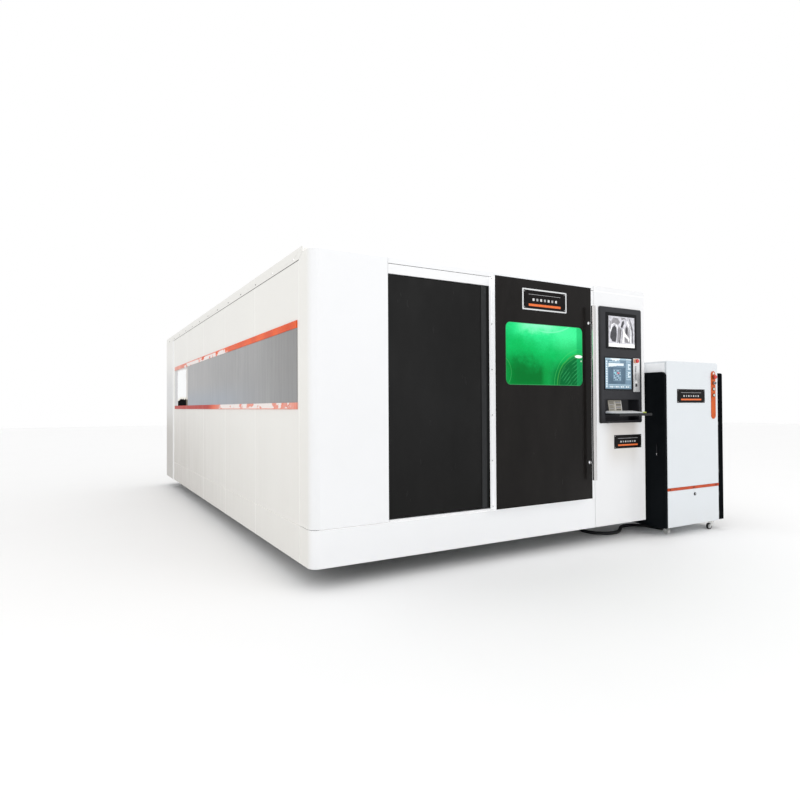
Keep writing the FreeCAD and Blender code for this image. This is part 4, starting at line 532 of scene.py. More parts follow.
def window_material():
    """Green laser-safe pane with painted light: bright above, deeper below, with painted reflections as round shapes
    low on the right.
    """
    m, nt, b = new_mat("safety_pane")
    x, z = axis_value(nt, 0), axis_value(nt, 2)

    def X(v):
        return (v - OX) / 1000.0

    def dist(cx, cz, ax=1.0, az=1.0):
        dx = math_node(nt, "MULTIPLY", math_node(nt, "SUBTRACT", x, X(cx)), ax)
        dz = math_node(nt, "MULTIPLY", math_node(nt, "SUBTRACT", z, cz), az)
        return math_node(nt, "SQRT", math_node(nt, "ADD", math_node(nt, "MULTIPLY", dx, dx),
                                               math_node(nt, "MULTIPLY", dz, dz)))

    def ring(d, r, w):
        return math_node(nt, "MULTIPLY", remap(nt, d, r - w, r, 0.0, 1.0, True), remap(nt, d, r, r + w, 1.0, 0.0, True))
    n1 = noise(nt, coords(nt, (0.8, 1.0, 1.2)), 2.3, 5.0, 0.55)
    n2 = noise(nt, coords(nt, (1.0, 1.0, 1.0)), 16.0, 4.0, 0.6)
    n4 = noise(nt, coords(nt, (1.0, 1.0, 1.0)), 85.0, 4.0, 0.7)
    zz = math_node(nt, "ADD", z, remap(nt, n1, 0.3, 0.7, -0.07, 0.07))
    zz = math_node(nt, "ADD", zz, remap(nt, n2, 0.3, 0.7, -0.022, 0.022))
    zz = math_node(nt, "ADD", zz, remap(nt, x, X(1705), X(2620), -0.05, 0.06))
    low = (0.0006, 0.182, 0.028)
    mid = (0.0030, 0.43, 0.094)
    top = (0.026, 0.70, 0.230)
    col = mixc(nt, remap(nt, zz, 1.585, 1.795, 0.0, 1.0, True), low, mid)
    col = mixc(nt, remap(nt, zz, 1.77, 1.99, 0.0, 1.0, True), col, top)
    # painted shade: darker block low on the left; painted light: paler towards the edges
    blk = math_node(nt, "MULTIPLY", remap(nt, x, X(1745), X(1850), 0.0, 1.0, True), remap(nt, x, X(2095), X(2135), 1.0, 0.0, True))
    blk = math_node(nt, "MULTIPLY", blk, math_node(nt, "MULTIPLY", remap(nt, zz, 1.60, 1.72, 0.85, 0.0, True), remap(nt, z, 1.495, 1.545, 0.2, 1.0, True)))
    col = mixc(nt, math_node(nt, "MULTIPLY", blk, remap(nt, n4, 0.3, 0.7, 0.55, 0.95)), col, (0.0006, 0.128, 0.020))
    lft = math_node(nt, "MULTIPLY", remap(nt, x, X(1715), X(1790), 0.55, 0.0, True), remap(nt, z, 1.60, 1.75, 1.0, 0.0, True))
    col = mixc(nt, lft, col, (0.0035, 0.30, 0.060))
    # painted light: paler upright in the lower half
    up = math_node(nt, "MULTIPLY", remap(nt, x, X(2105), X(2165), 0.0, 1.0, True), remap(nt, x, X(2185), X(2235), 1.0, 0.0, True))
    up = math_node(nt, "MULTIPLY", up, remap(nt, z, 1.64, 1.80, 0.55, 0.0, True))
    col = mixc(nt, up, col, (0.004, 0.34, 0.066))
    side = math_node(nt, "MULTIPLY", remap(nt, x, X(2215), X(2270), 0.0, 1.0, True), remap(nt, z, 1.60, 1.74, 0.62, 0.0, True))
    col = mixc(nt, side, col, (0.0006, 0.175, 0.034))
    # painted highlight: brightest along the upper edge, left of the middle
    hi = math_node(nt, "MULTIPLY", remap(nt, x, X(1790), X(2010), 0.0, 1.0, True), remap(nt, x, X(2120), X(2480), 1.0, 0.0, True))
    hi = math_node(nt, "MULTIPLY", hi, remap(nt, math_node(nt, "ADD", z, remap(nt, n2, 0.3, 0.7, -0.02, 0.02)), 1.925, 2.035, 0.0, 0.8, True))
    col = mixc(nt, hi, col, (0.30, 0.86, 0.56))
    glow = math_node(nt, "MULTIPLY", remap(nt, dist(2450.0, 1.93, 0.7, 1.0), 0.03, 0.20, 0.55, 0.0, True), remap(nt, n1, 0.3, 0.7, 0.6, 1.0))
    col = mixc(nt, glow, col, (0.085, 0.86, 0.34))
    # painted shade: deeper upper left corner, with short pale strokes
    tl = remap(nt, dist(1705.0, 1.98, 1.0, 0.8), 0.03, 0.17, 0.55, 0.0, True)
    col = mixc(nt, tl, col, (0.002, 0.42, 0.105))
    # painted reflection: round shape low on the right, with slanting fine lines in it
    d = dist(2600.0, 1.478)
    dn = math_node(nt, "ADD", d, remap(nt, n1, 0.3, 0.7, -0.012, 0.012))
    wide = ring(dn, 0.385, 0.055)
    col = mixc(nt, math_node(nt, "MULTIPLY", wide, 0.22), col, (0.012, 0.46, 0.120))
    disc = remap(nt, dn, 0.262, 0.318, 0.90, 0.0, True)
    col = mixc(nt, disc, col, (0.0012, 0.112, 0.028))
    ds = math_node(nt, "ADD", dist(2990.0, 1.022), remap(nt, n2, 0.3, 0.7, -0.004, 0.004))
    arcs = math_node(nt, "SINE", math_node(nt, "MULTIPLY", ds, 205.0))
    arcs = math_node(nt, "MULTIPLY", remap(nt, arcs, 0.35, 1.0, 0.0, 0.60, True), remap(nt, dn, 0.24, 0.30, 1.0, 0.0, True))
    arcs = math_node(nt, "MULTIPLY", arcs, remap(nt, n2, 0.38, 0.62, 0.0, 1.0))
    col = mixc(nt, arcs, col, (0.035, 0.36, 0.115))
    col = mixc(nt, math_node(nt, "MULTIPLY", ring(dn, 0.300, 0.010), 0.55), col, (0.070, 0.40, 0.070))
    col = mixc(nt, math_node(nt, "MULTIPLY", ring(dn, 0.272, 0.007), 0.35), col, (0.050, 0.38, 0.090))
    col = mixc(nt, math_node(nt, "MULTIPLY", ring(dn, 0.338, 0.008), 0.35), col, (0.060, 0.60, 0.15))
    # painted reflection: faint arcs on the left and above
    d2 = dist(1620.0, 1.60)
    col = mixc(nt, math_node(nt, "MULTIPLY", ring(d2, 0.150, 0.007), 0.40), col, (0.05, 0.42, 0.12))
    d3 = dist(2190.0, 2.34, 1.0, 1.25)
    arc3 = math_node(nt, "MULTIPLY", ring(d3, 0.470, 0.012), remap(nt, x, X(2060), X(2140), 0.0, 0.55, True))
    col = mixc(nt, arc3, col, (0.24, 0.90, 0.50))
    # painted light: paler upright on the right edge
    edge = remap(nt, x, X(2540), X(2548), 0.0, 0.62)
    col = mixc(nt, edge, col, mixc(nt, remap(nt, z, 1.6, 1.95, 0.0, 1.0), (0.008, 0.29, 0.085), (0.004, 0.40, 0.105)))
    # fine grain
    grain = nt.nodes.new("ShaderNodeHueSaturation")
    nt.links.new(col, grain.inputs["Color"])
    nt.links.new(remap(nt, n4, 0.3, 0.7, 0.86, 1.12), grain.inputs["Value"])
    col = grain.outputs[0]
    # painted highlight: thin paler line where the edge is bevelled
    ex = remap(nt, math_node(nt, "ABSOLUTE", math_node(nt, "SUBTRACT", x, X(2162.5))), 0.4465, 0.4495, 0.0, 1.0)
    ez = remap(nt, math_node(nt, "ABSOLUTE", math_node(nt, "SUBTRACT", z, 1.7625)), 0.2595, 0.2625, 0.0, 1.0)
    col = mixc(nt, math_node(nt, "MULTIPLY", math_node(nt, "MAXIMUM", ex, ez), 0.5), col, (0.06, 0.55, 0.17))
    # small glare beside the handle
    g1 = remap(nt, dist(2567.0, 1.763, 1.0, 3.4), 0.040, 0.054, 1.0, 0.0, True)
    g2 = remap(nt, dist(2600.0, 1.722, 1.0, 1.0), 0.004, 0.011, 0.6, 0.0, True)
    glare = math_node(nt, "MAXIMUM", g1, g2)
    col = mixc(nt, glare, col, (0.85, 0.95, 0.88))
    nt.links.new(col, b.inputs["Base Color"])
    # painted light: the pane glows with its own colour
    nt.links.new(col, b.inputs["Emission Color"])
    b.inputs["Emission Strength"].default_value = 0.20
    nt.links.new(remap(nt, noise(nt, coords(nt), 7.0, 5.0), 0.35, 0.7, 0.05, 0.12), b.inputs["Roughness"])
    b.inputs["Specular IOR Level"].default_value = 0.05
    b.inputs["IOR"].default_value = 1.49
    return m


M["window"] = window_material()


def screen_mat(name, c, rough=0.25, glow=0.25, var=0.10, vscale=40.0, detail=4.0, spec=0.3, coat=0.0):
    m, nt, b = new_mat(name)
    n1 = noise(nt, coords(nt), vscale, detail)
    col = mixc(nt, remap(nt, n1, 0.3, 0.7, 0.0, 1.0), shade(c, 1 - var), shade(c, 1 + var))
    nt.links.new(col, b.inputs["Base Color"])
    nt.links.new(col, b.inputs["Emission Color"])
    b.inputs["Emission Strength"].default_value = glow
    nt.links.new(remap(nt, noise(nt, coords(nt), 90.0), 0.3, 0.7, rough - 0.05, rough + 0.05), b.inputs["Roughness"])
    b.inputs["Specular IOR Level"].default_value = spec
    if coat:
        b.inputs["Coat Weight"].default_value = coat
        b.inputs["Coat Roughness"].default_value = 0.05
    return m


SC = {
    "pic_pale": screen_mat("pic_pale", (0.50, 0.495, 0.535), var=0.26, vscale=34.0),
    "pic_white": screen_mat("pic_white", (0.86, 0.86, 0.86), var=0.03),
    "pic_mid": screen_mat("pic_mid", (0.23, 0.225, 0.24), var=0.25, vscale=30.0),
    "pic_dark": screen_mat("pic_dark", (0.048, 0.048, 0.055), var=0.3, vscale=40.0),
    "ui_base": screen_mat("ui_base", (0.135, 0.215, 0.29), var=0.12, vscale=14.0),
    "ui_dark": screen_mat("ui_dark", (0.070, 0.125, 0.18), var=0.15, vscale=22.0),
    "ui_light": screen_mat("ui_light", (0.33, 0.46, 0.55), var=0.12, vscale=60.0),
    "ui_white": screen_mat("ui_white", (0.68, 0.76, 0.80), var=0.06, vscale=60.0),
    "ui_red": screen_mat("ui_red", (0.55, 0.10, 0.12)),
    "ui_cyan": screen_mat("ui_cyan", (0.20, 0.62, 0.66)),
    "plate_black": screen_mat("plate_black", (0.010, 0.009, 0.009), glow=0.0, var=0.3, vscale=30.0, spec=0.05),
    "plate_orange": screen_mat("plate_orange", (0.80, 0.17, 0.045), glow=0.0, var=0.10, vscale=60.0, spec=0.15),
    "plate_grey": screen_mat("plate_grey", (0.40, 0.40, 0.41), glow=0.0, var=0.1, vscale=60.0),
    "plate_pale": screen_mat("plate_pale", (0.66, 0.66, 0.66), glow=0.0, var=0.06, vscale=60.0),
    "card": screen_mat("card", (0.40, 0.375, 0.315), glow=0.0, var=0.10, vscale=50.0),
    "card_print": screen_mat("card_print", (0.115, 0.105, 0.09), glow=0.0, var=0.2, vscale=80.0),
    "lime": screen_mat("lime", (0.52, 0.60, 0.12), glow=0.0, var=0.12, vscale=60.0),
    "white_bit": screen_mat("white_bit", (0.78, 0.78, 0.77), glow=0.0, var=0.04, vscale=60.0),
    "key_dark": screen_mat("key_dark", (0.16, 0.16, 0.17), glow=0.0, var=0.15, vscale=80.0),
    "dark_bit": screen_mat("dark_bit", (0.012, 0.012, 0.014), glow=0.0, var=0.2, vscale=60.0, spec=0.2),
    # painted shadow: dark reddish finish for the rings round the cabinet buttons
    "ring_shadow": screen_mat("ring_shadow", (0.075, 0.022, 0.010), glow=0.0, var=0.2, vscale=60.0, spec=0.3),
    "amber": screen_mat("amber", (0.80, 0.30, 0.05), glow=0.0, var=0.10, vscale=60.0),
}



def masked(key, src_key, mask, colour, emit=None):
    """A copy of a finish with another colour where mask(nt) is 1."""
    m = M[src_key].copy()
    m.name = key
    nt, b = m.node_tree, bsdf(m)
    k = mask(nt)
    src = b.inputs["Base Color"].links[0].from_socket
    nt.links.new(mixc(nt, k, src, colour), b.inputs["Base Color"])
    if emit:
        nt.links.new(mixc(nt, k, (0.0, 0.0, 0.0), emit), b.inputs["Emission Color"])
        b.inputs["Emission Strength"].default_value = 1.0
    M[key] = m


def at_x(v):
    return (v - OX) / 1000.0


def at_y(v):
    return (v - OY) / 1000.0


masked("cab_door", "cab_white", lambda nt: remap(nt, axis_value(nt, 0), at_x(4504.3), at_x(4504.6), 0.0, 1.0), (0.004, 0.005, 0.006))
# painted light: the left side of the cabinet above the black cover is paler and glows
masked("cab_shell", "cab_white",
       lambda nt: math_node(nt, "MULTIPLY", remap(nt, axis_value(nt, 0), at_x(3656.5), at_x(3659.0), 1.0, 0.0),
                            remap(nt, axis_value(nt, 2), 1.60, 1.62, 0.0, 1.0)), (0.86, 0.875, 0.89), (0.14, 0.145, 0.15))
# painted shade: the right cover is a darker copy of the black cover paint, with less specular
masked("cover_right", "cover", lambda nt: remap(nt, axis_value(nt, 0), at_x(4100.0), at_x(4200.0), 0.0, 1.0), (0.0018, 0.0024, 0.0034))
bsdf(M["cover_right"]).inputs["Specular IOR Level"].default_value = 0.006
masked("key_metal", "chrome", lambda nt: remap(nt, axis_value(nt, 1), at_y(-219.0), at_y(-216.0), 1.0, 0.0), (0.045, 0.045, 0.05))
masked("handle_steel", "steel",
       lambda nt: math_node(nt, "MULTIPLY", remap(nt, axis_value(nt, 1), at_y(-125.0), at_y(-121.0), 0.0, 1.0),
                            remap(nt, axis_value(nt, 0), at_x(2688.0), at_x(2692.0), 0.0, 1.0)), (0.03, 0.03, 0.032))
# painted highlight: the handle's standoffs are pale and glow
masked("handle_steel", "handle_steel",
       lambda nt: math_node(nt, "MULTIPLY", remap(nt, axis_value(nt, 1), at_y(-125.0), at_y(-121.0), 0.0, 1.0),
                            remap(nt, axis_value(nt, 0), at_x(2685.0), at_x(2688.0), 1.0, 0.0)), (0.92, 0.92, 0.93), (0.22, 0.22, 0.225))
masked("lens_two", "lens", lambda nt: remap(nt, axis_value(nt, 0), at_x(4419.0), at_x(4423.0), 0.0, 1.0), (0.16, 0.52, 0.44))
# painted light: the silver strip is paler and glows
masked("strip_metal", "alu", lambda nt: remap(nt, noise(nt, coords(nt, (1.0, 1.0, 14.0)), 26.0, 3.0), 0.2, 0.8, 0.85, 1.0), (0.78, 0.785, 0.79), (0.085, 0.086, 0.088))
# painted highlight: the screws at the front end of the rail are pale and glow
masked("rail_screws", "dark_screw",
       lambda nt: math_node(nt, "MULTIPLY", remap(nt, axis_value(nt, 1), at_y(1090.0), at_y(1110.0), 1.0, 0.0),
                            remap(nt, axis_value(nt, 2), 2.40, 2.41, 0.0, 1.0)), (0.92, 0.92, 0.92), (0.25, 0.25, 0.25))
masked("rail_screws", "rail_screws", lambda nt: remap(nt, axis_value(nt, 2), 1.0, 1.1, 1.0, 0.0), (0.006, 0.006, 0.007))
M["plate_rim"] = surface("plate_rim", (0.82, 0.82, 0.83), 0.38, metal=0.15, var=0.04, vscale=30.0, rvar=0.06,
                         rscale=40.0, bump=0.04, bscale=300.0)
M["wheel_dark"] = surface("wheel_dark", (0.012, 0.012, 0.013), 0.5, var=0.2, vscale=60.0, rvar=0.1, rscale=90.0,
                          bump=0.2, bscale=600.0, spec=0.25)
WHEEL_C = ((4455.0 - 0.9902681 * 40.0 - OX) / 1000.0, (-146.0 + 0.1391731 * 40.0 - OY) / 1000.0, 0.033)


def hub_mask(nt):
    parts = []
    for axis, c in enumerate(WHEEL_C):
        dv = math_node(nt, "SUBTRACT", axis_value(nt, axis), c)
        parts.append(math_node(nt, "MULTIPLY", dv, dv))
    rr = math_node(nt, "SQRT", math_node(nt, "ADD", math_node(nt, "ADD", parts[0], parts[1]), parts[2]))
    return remap(nt, rr, 0.0255, 0.0275, 1.0, 0.0)


masked("wheel_hub", "wheel_dark", hub_mask, (0.42, 0.42, 0.42))

NODE_MAT = {
    "bed_frame": "bed", "levelling_feet": "zinc", "wall_frame": "frame", "front_corner_panel": "wrap_white",
    "skirt_panels": "wrap_white", "door_surround": "white", "console_panel": "panel_white", "left_panels": "side_shaded_white",
    "rear_corner_panel": "corner_white", "right_panels": "side_shaded_white", "rear_panels": "side_shaded_white",
    "roof_fascia": "wrap_white", "roof_panels": "roof", "band_strips": "orange", "band_panels": "band",
    "panel_screws": "rail_screws", "console_bezel": "bezel", "monitor": "plastic", "touch_panel": "plastic",
    "button_strip": "strip_metal", "console_estop": "red", "console_plate": "plate_rim", "keyboard_tray": "tray",
    "keyboard": "keybase", "slat_table": "slats", "guide_rails": "steel", "door_frame": "stile_white",
    "door_front_panel": "door", "door_window": "window", "door_plate": "alu", "door_screws": "zinc",
    "door_handle": "handle_steel", "door_hangers": "zinc", "inner_leaf": "leaf", "cabinet_body": "cab_shell",
    "cabinet_stripe": "stripe", "cabinet_left_cover": "cover", "cabinet_right_cover": "cover_right",
    "cabinet_front_door": "cab_door", "cabinet_lower_door": "cab_door", "cabinet_plate": "plate_rim",
    "control_strip": "orange_cab", "cabinet_estop": "red", "key_switch": "key_metal", "start_button": "lens_two",
    "stop_button": "lens_two", "laser_source": "frame", "castor_brackets": "zinc", "front_left_fork": "zinc",
    "front_right_fork": "zinc", "front_left_wheel": "tyre_pale", "front_right_wheel": "wheel_hub",
    "rear_left_wheel": "tyre", "rear_right_wheel": "tyre", "gantry_beam": "alu_plain",
    "gantry_motors": "plastic", "carriage": "alu_plain", "cutting_head": "alu_plain",
    "cable_glands": "plastic",
}
for n, key in NODE_MAT.items():
    ob = NODES[n]
    ob.data.materials.clear()
    ob.data.materials.append(M[key])

# fine rounded edges on the sheet and painted nodes
BEVEL = {"skirt_panels": 0.0007, "door_surround": 0.0007, "console_panel": 0.0007, "left_panels": 0.0008,
         "rear_corner_panel": 0.0007, "right_panels": 0.0008, "rear_panels": 0.0008, "roof_fascia": 0.0007,
         "roof_panels": 0.0007, "front_corner_panel": 0.0007, "door_frame": 0.0007, "inner_leaf": 0.0007,
         "door_front_panel": 0.0010, "cabinet_front_door": 0.0008, "cabinet_lower_door": 0.0008,
         "cabinet_body": 0.0012, "bed_frame": 0.003, "wall_frame": 0.003, "gantry_beam": 0.002,
         "carriage": 0.002, "band_panels": 0.0006, "keyboard": 0.0015, "laser_source": 0.0012}
for n, w in BEVEL.items():
    ob = NODES[n]
    we = ob.modifiers.new("weld", "WELD")
    we.merge_threshold = 0.00002
    bv = ob.modifiers.new("bevel", "BEVEL")
    bv.width = w
    bv.segments = 2
    bv.limit_method = "ANGLE"
    bv.angle_limit = math.radians(40)
    bv.use_clamp_overlap = True


# ---------------------------------------------------------------------------
# mesh helpers
# ---------------------------------------------------------------------------
def mesh_object(name, verts, faces, mats, index=None, smooth=False):
    me = bpy.data.meshes.new(name)
    me.from_pydata([tuple(v) for v in verts], [], faces)
    me.validate()
    for m in mats:
        me.materials.append(m)
    if index:
        for p, i in zip(me.polygons, index):
            p.material_index = i
    for p in me.polygons:
        p.use_smooth = smooth
    me.update()
    ob = bpy.data.objects.new(name, me)
    bpy.context.scene.collection.objects.link(ob)
    return ob


class Builder:
    """Collects solids in the design frame, in mm, with a material for each."""

    def __init__(self, name):
        self.name, self.v, self.f, self.i, self.mats = name, [], [], [], []

    def slot(self, m):
        if m not in self.mats:
            self.mats.append(m)
        return self.mats.index(m)

    def prism(self, loop, y0, y1, m):
        """loop = (x, z) points, anticlockwise from the front (y0 < y1, front at y0)."""
        s = self.slot(m)
        n, o = len(loop), len(self.v)
        for (x, z) in loop:
            self.v.append(D(x, y0, z))
        for (x, z) in loop:
            self.v.append(D(x, y1, z))
        self.f.append(list(range(o, o + n)))
        self.i.append(s)
        self.f.append(list(range(o + 2 * n - 1, o + n - 1, -1)))
        self.i.append(s)
        for k in range(n):
            j = (k + 1) % n
            self.f.append([o + k, o + n + k, o + n + j, o + j])
            self.i.append(s)

    def rbox_y(self, x0, x1, z0, z1, y0, y1, r, m, seg=4):
        self.prism(round_loop(x0, x1, z0, z1, r, seg), y0, y1, m)

    def soft_key(self, x0, x1, z0, z1, y0, y1, r, m, inset=0.8):
        """Key cap whose front face at y0 is drawn in a little."""
        s = self.slot(m)
        a = round_loop(x0, x1, z0, z1, r, 3)
        b = round_loop(x0 + inset, x1 - inset, z0 + inset, z1 - inset, max(0.3, r - inset * 0.5), 3)
        self.loft([[D(x, y1, z) for x, z in a], [D(x, y0 + (y1 - y0) * 0.35, z) for x, z in a],
                   [D(x, y0, z) for x, z in b]], s)

    def loft(self, rings, s, closed_ends=True):
        n, o = len(rings[0]), len(self.v)
        for r in rings:
            self.v.extend(r)
        for k in range(len(rings) - 1):
            for j in range(n):
                q = (j + 1) % n
                self.f.append([o + k * n + j, o + k * n + q, o + (k + 1) * n + q, o + (k + 1) * n + j])
                self.i.append(s)
        if closed_ends:
            self.f.append(list(range(o + n - 1, o - 1, -1)))
            self.i.append(s)
            self.f.append(list(range(o + (len(rings) - 1) * n, o + len(rings) * n)))
            self.i.append(s)

    def lathe_y(self, cx, cz, prof, m, seg=28):
        """prof = (radius, y) points from back to front, turned about a Y axis."""
        rings = []
        for (r, y) in prof:
            rings.append([D(cx + r * math.cos(2 * math.pi * k / seg), y, cz + r * math.sin(2 * math.pi * k / seg))
                          for k in range(seg)])
        if prof[0] == prof[-1]:
            # a closed profile makes an open ring, with nothing across its middle
            rings.pop()
            o, n, q = len(self.v), seg, len(rings)
            self.loft(rings, self.slot(m), False)
            for j in range(n):
                w = (j + 1) % n
                self.f.append([o + (q - 1) * n + j, o + (q - 1) * n + w, o + w, o + j])
                self.i.append(self.slot(m))
            return
        self.loft(rings, self.slot(m))

    def lathe_x(self, cy, cz, prof, m, seg=24):
        rings = []
        for (r, x) in prof:
            rings.append([D(x, cy + r * math.cos(2 * math.pi * k / seg), cz + r * math.sin(2 * math.pi * k / seg))
                          for k in range(seg)])
        self.loft(rings, self.slot(m))

    def lathe_z(self, cx, cy, prof, m, seg=24):
        rings = []
        for (r, z) in prof:
            rings.append([D(cx + r * math.cos(2 * math.pi * k / seg), cy + r * math.sin(2 * math.pi * k / seg), z)
                          for k in range(seg)])
        self.loft(rings, self.slot(m))

    def ring_frame(self, outer, inner, y0, y1, m, lip=1.2):
        """Frame between two loops of the same length, with a softened front edge."""
        s = self.slot(m)
        n, o = len(outer), len(self.v)

        def toward(a, b, t):
            return (a[0] + (b[0] - a[0]) * t, a[1] + (b[1] - a[1]) * t)
        w = math.dist(outer[0], inner[0])
        t = min(0.45, lip / max(w, 1e-6))
        sets = [(outer, y1), (outer, y0 + lip), ([toward(a, b, t) for a, b in zip(outer, inner)], y0),
                ([toward(b, a, t) for a, b in zip(outer, inner)], y0), (inner, y0 + lip), (inner, y1)]
        for lp, y in sets:
            for (x, z) in lp:
                self.v.append(D(x, y, z))
        for k in range(len(sets)):
            kk = (k + 1) % len(sets)
            for j in range(n):
                q = (j + 1) % n
                self.f.append([o + k * n + j, o + k * n + q, o + kk * n + q, o + kk * n + j])
                self.i.append(s)

    def done(self, body, smooth=False):
        ob = mesh_object(self.name, self.v, self.f, self.mats, self.i, smooth)
        bm = bmesh.new()
        bm.from_mesh(ob.data)
        bmesh.ops.recalc_face_normals(bm, faces=bm.faces)
        bm.to_mesh(ob.data)
        bm.free()
        if smooth:
            try:
                ob.data.set_sharp_from_angle(angle=math.radians(38))
            except Exception:
                pass
        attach(ob, body)
        return ob


def round_loop(x0, x1, z0, z1, r, seg=5):
    """Anticlockwise rounded rectangle seen from -Y, x to the right."""
    pts = []
    for (cx, cz, a0) in ((x1 - r, z0 + r, -90), (x1 - r, z1 - r, 0), (x0 + r, z1 - r, 90), (x0 + r, z0 + r, 180)):
        for k in range(seg + 1):
            a = math.radians(a0 + 90.0 * k / seg)
            pts.append((cx + r * math.cos(a), cz + r * math.sin(a)))
    return pts


# ---------------------------------------------------------------------------
# console: pictures on the two displays
# ---------------------------------------------------------------------------
MON_PIC = (3049.0, 3425.0, 1886.5, 2187.5)
TCH_PIC = (2997.5, 3373.5, 1474.5, 1775.5)


def uv(pic, u, v):
    return (pic[0] + (pic[1] - pic[0]) * u, pic[2] + (pic[3] - pic[2]) * v)


up = Builder("upper_picture")
Y_PIC = -11.5
up.prism([uv(MON_PIC, *p) for p in ((0.004, 0.004), (0.996, 0.004), (0.996, 0.996), (0.004, 0.996))], Y_PIC - 0.5, Y_PIC, SC["pic_pale"])


def shape(b, pic, pts, m, lift):
    b.prism([uv(pic, *p) for p in pts], Y_PIC - 0.5 - 0.15 * lift, Y_PIC - 0.45, m)


shape(up, MON_PIC, [(0.0, 0.0), (1.0, 0.0), (1.0, 0.115), (0.0, 0.115)], SC["pic_white"], 3)
shape(up, MON_PIC, [(0.06, 0.30), (0.14, 0.17), (0.27, 0.16), (0.31, 0.40), (0.30, 0.62), (0.23, 0.70), (0.14, 0.62), (0.08, 0.46)], SC["pic_dark"], 1)
shape(up, MON_PIC, [(0.10, 0.72), (0.22, 0.78), (0.36, 0.72), (0.44, 0.80), (0.36, 0.93), (0.20, 0.95), (0.12, 0.86)], SC["pic_mid"], 1)
shape(up, MON_PIC, [(0.62, 0.16), (0.76, 0.15), (0.78, 0.42), (0.75, 0.66), (0.68, 0.74), (0.62, 0.60), (0.60, 0.36)], SC["pic_mid"], 1)
shape(up, MON_PIC, [(0.64, 0.42), (0.72, 0.44), (0.73, 0.62), (0.67, 0.68)], SC["pic_dark"], 2)
shape(up, MON_PIC, [(0.46, 0.66), (0.52, 0.62), (0.60, 0.78), (0.58, 0.88), (0.52, 0.84)], SC["pic_dark"], 1)
shape(up, MON_PIC, [(0.52, 0.14), (0.58, 0.14), (0.60, 0.36), (0.70, 0.30), (0.78, 0.22), (0.80, 0.28), (0.66, 0.44), (0.56, 0.56)], SC["pic_white"], 3)
shape(up, MON_PIC, [(0.33, 0.16), (0.44, 0.15), (0.47, 0.50), (0.42, 0.66), (0.36, 0.60)], SC["pic_mid"], 1)
shape(up, MON_PIC, [(0.83, 0.15), (0.86, 0.15), (0.84, 0.60), (0.74, 0.86), (0.70, 0.86), (0.80, 0.58)], SC["pic_white"], 2)
shape(up, MON_PIC, [(0.90, 0.15), (0.94, 0.15), (0.93, 0.62), (0.84, 0.90), (0.81, 0.88), (0.90, 0.60)], SC["pic_mid"], 2)
for k in range(5):
    u = 0.875 + 0.018 * k
    shape(up, MON_PIC, [(u, 0.60 - 0.05 * k), (u + 0.010, 0.60 - 0.05 * k), (u - 0.07, 0.95 - 0.03 * k), (u - 0.085, 0.93 - 0.03 * k)],
          SC["pic_mid"] if k % 2 else SC["pic_dark"], 1)
for (a, c, w, tone) in ((((0.335, 0.13), (0.375, 0.40), (0.36, 0.66)), None, 0.020, "pic_mid"),
                        (((0.41, 0.12), (0.455, 0.38), (0.47, 0.62)), None, 0.026, "pic_dark"),
                        (((0.50, 0.13), (0.52, 0.36), (0.50, 0.56)), None, 0.018, "pic_mid"),
                        (((0.56, 0.14), (0.565, 0.34), (0.545, 0.52)), None, 0.026, "pic_dark"),
                        (((0.08, 0.50), (0.13, 0.70), (0.20, 0.76)), None, 0.022, "pic_white"),
                        (((0.20, 0.76), (0.30, 0.72), (0.345, 0.60)), None, 0.024, "pic_white"),
                        (((0.79, 0.16), (0.82, 0.45), (0.79, 0.72)), None, 0.020, "pic_mid"),
                        (((0.90, 0.16), (0.93, 0.40), (0.91, 0.66)), None, 0.022, "pic_mid"),
                        (((0.58, 0.60), (0.61, 0.42), (0.70, 0.30)), None, 0.030, "pic_white"),
                        (((0.64, 0.42), (0.72, 0.33), (0.77, 0.20)), None, 0.030, "pic_white")):
    for k in range(2):
        (u0, v0), (u1, v1) = a[k], a[k + 1]
        shape(up, MON_PIC, [(u0 - w / 2, v0), (u0 + w / 2, v0), (u1 + w / 2, v1), (u1 - w / 2, v1)], SC[tone], 2)
shape(up, MON_PIC, [(0.50, 0.88), (0.60, 0.93), (0.68, 0.90), (0.62, 0.97), (0.48, 0.96)], SC["pic_mid"], 1)
shape(up, MON_PIC, [(0.03, 0.62), (0.07, 0.55), (0.09, 0.80), (0.05, 0.86)], SC["pic_mid"], 1)
up.done("enclosure")

lo = Builder("lower_picture")
lo.prism([uv(TCH_PIC, *p) for p in ((0.004, 0.004), (0.996, 0.004), (0.996, 0.996), (0.004, 0.996))], Y_PIC - 0.5, Y_PIC, SC["ui_base"])


def cell(u0, u1, v0, v1, m, lift=1):
    shape(lo, TCH_PIC, [(u0, v0), (u1, v0), (u1, v1), (u0, v1)], SC[m], lift)


cell(0.0, 1.0, 0.945, 1.0, "ui_light")
cell(0.02, 0.09, 0.04, 0.93, "ui_light")
for k in range(11):
    cell(0.032, 0.078, 0.065 + k * 0.08, 0.105 + k * 0.08, "ui_white", 2)
cell(0.12, 0.76, 0.17, 0.70, "ui_dark")
cell(0.30, 0.60, 0.26, 0.66, "ui_base", 2)
for k in range(5):
    for j in range(6):
        cell(0.32 + k * 0.054, 0.36 + k * 0.054, 0.29 + j * 0.058, 0.325 + j * 0.058, "ui_light" if (k + j) % 3 else "ui_dark", 3)
cell(0.35, 0.40, 0.50, 0.54, "ui_cyan", 4)
cell(0.455, 0.53, 0.50, 0.545, "ui_red", 4)
cell(0.12, 0.70, 0.76, 0.84, "ui_white", 1)
cell(0.14, 0.56, 0.865, 0.90, "ui_light", 1)
cell(0.80, 0.97, 0.30, 0.92, "ui_light")
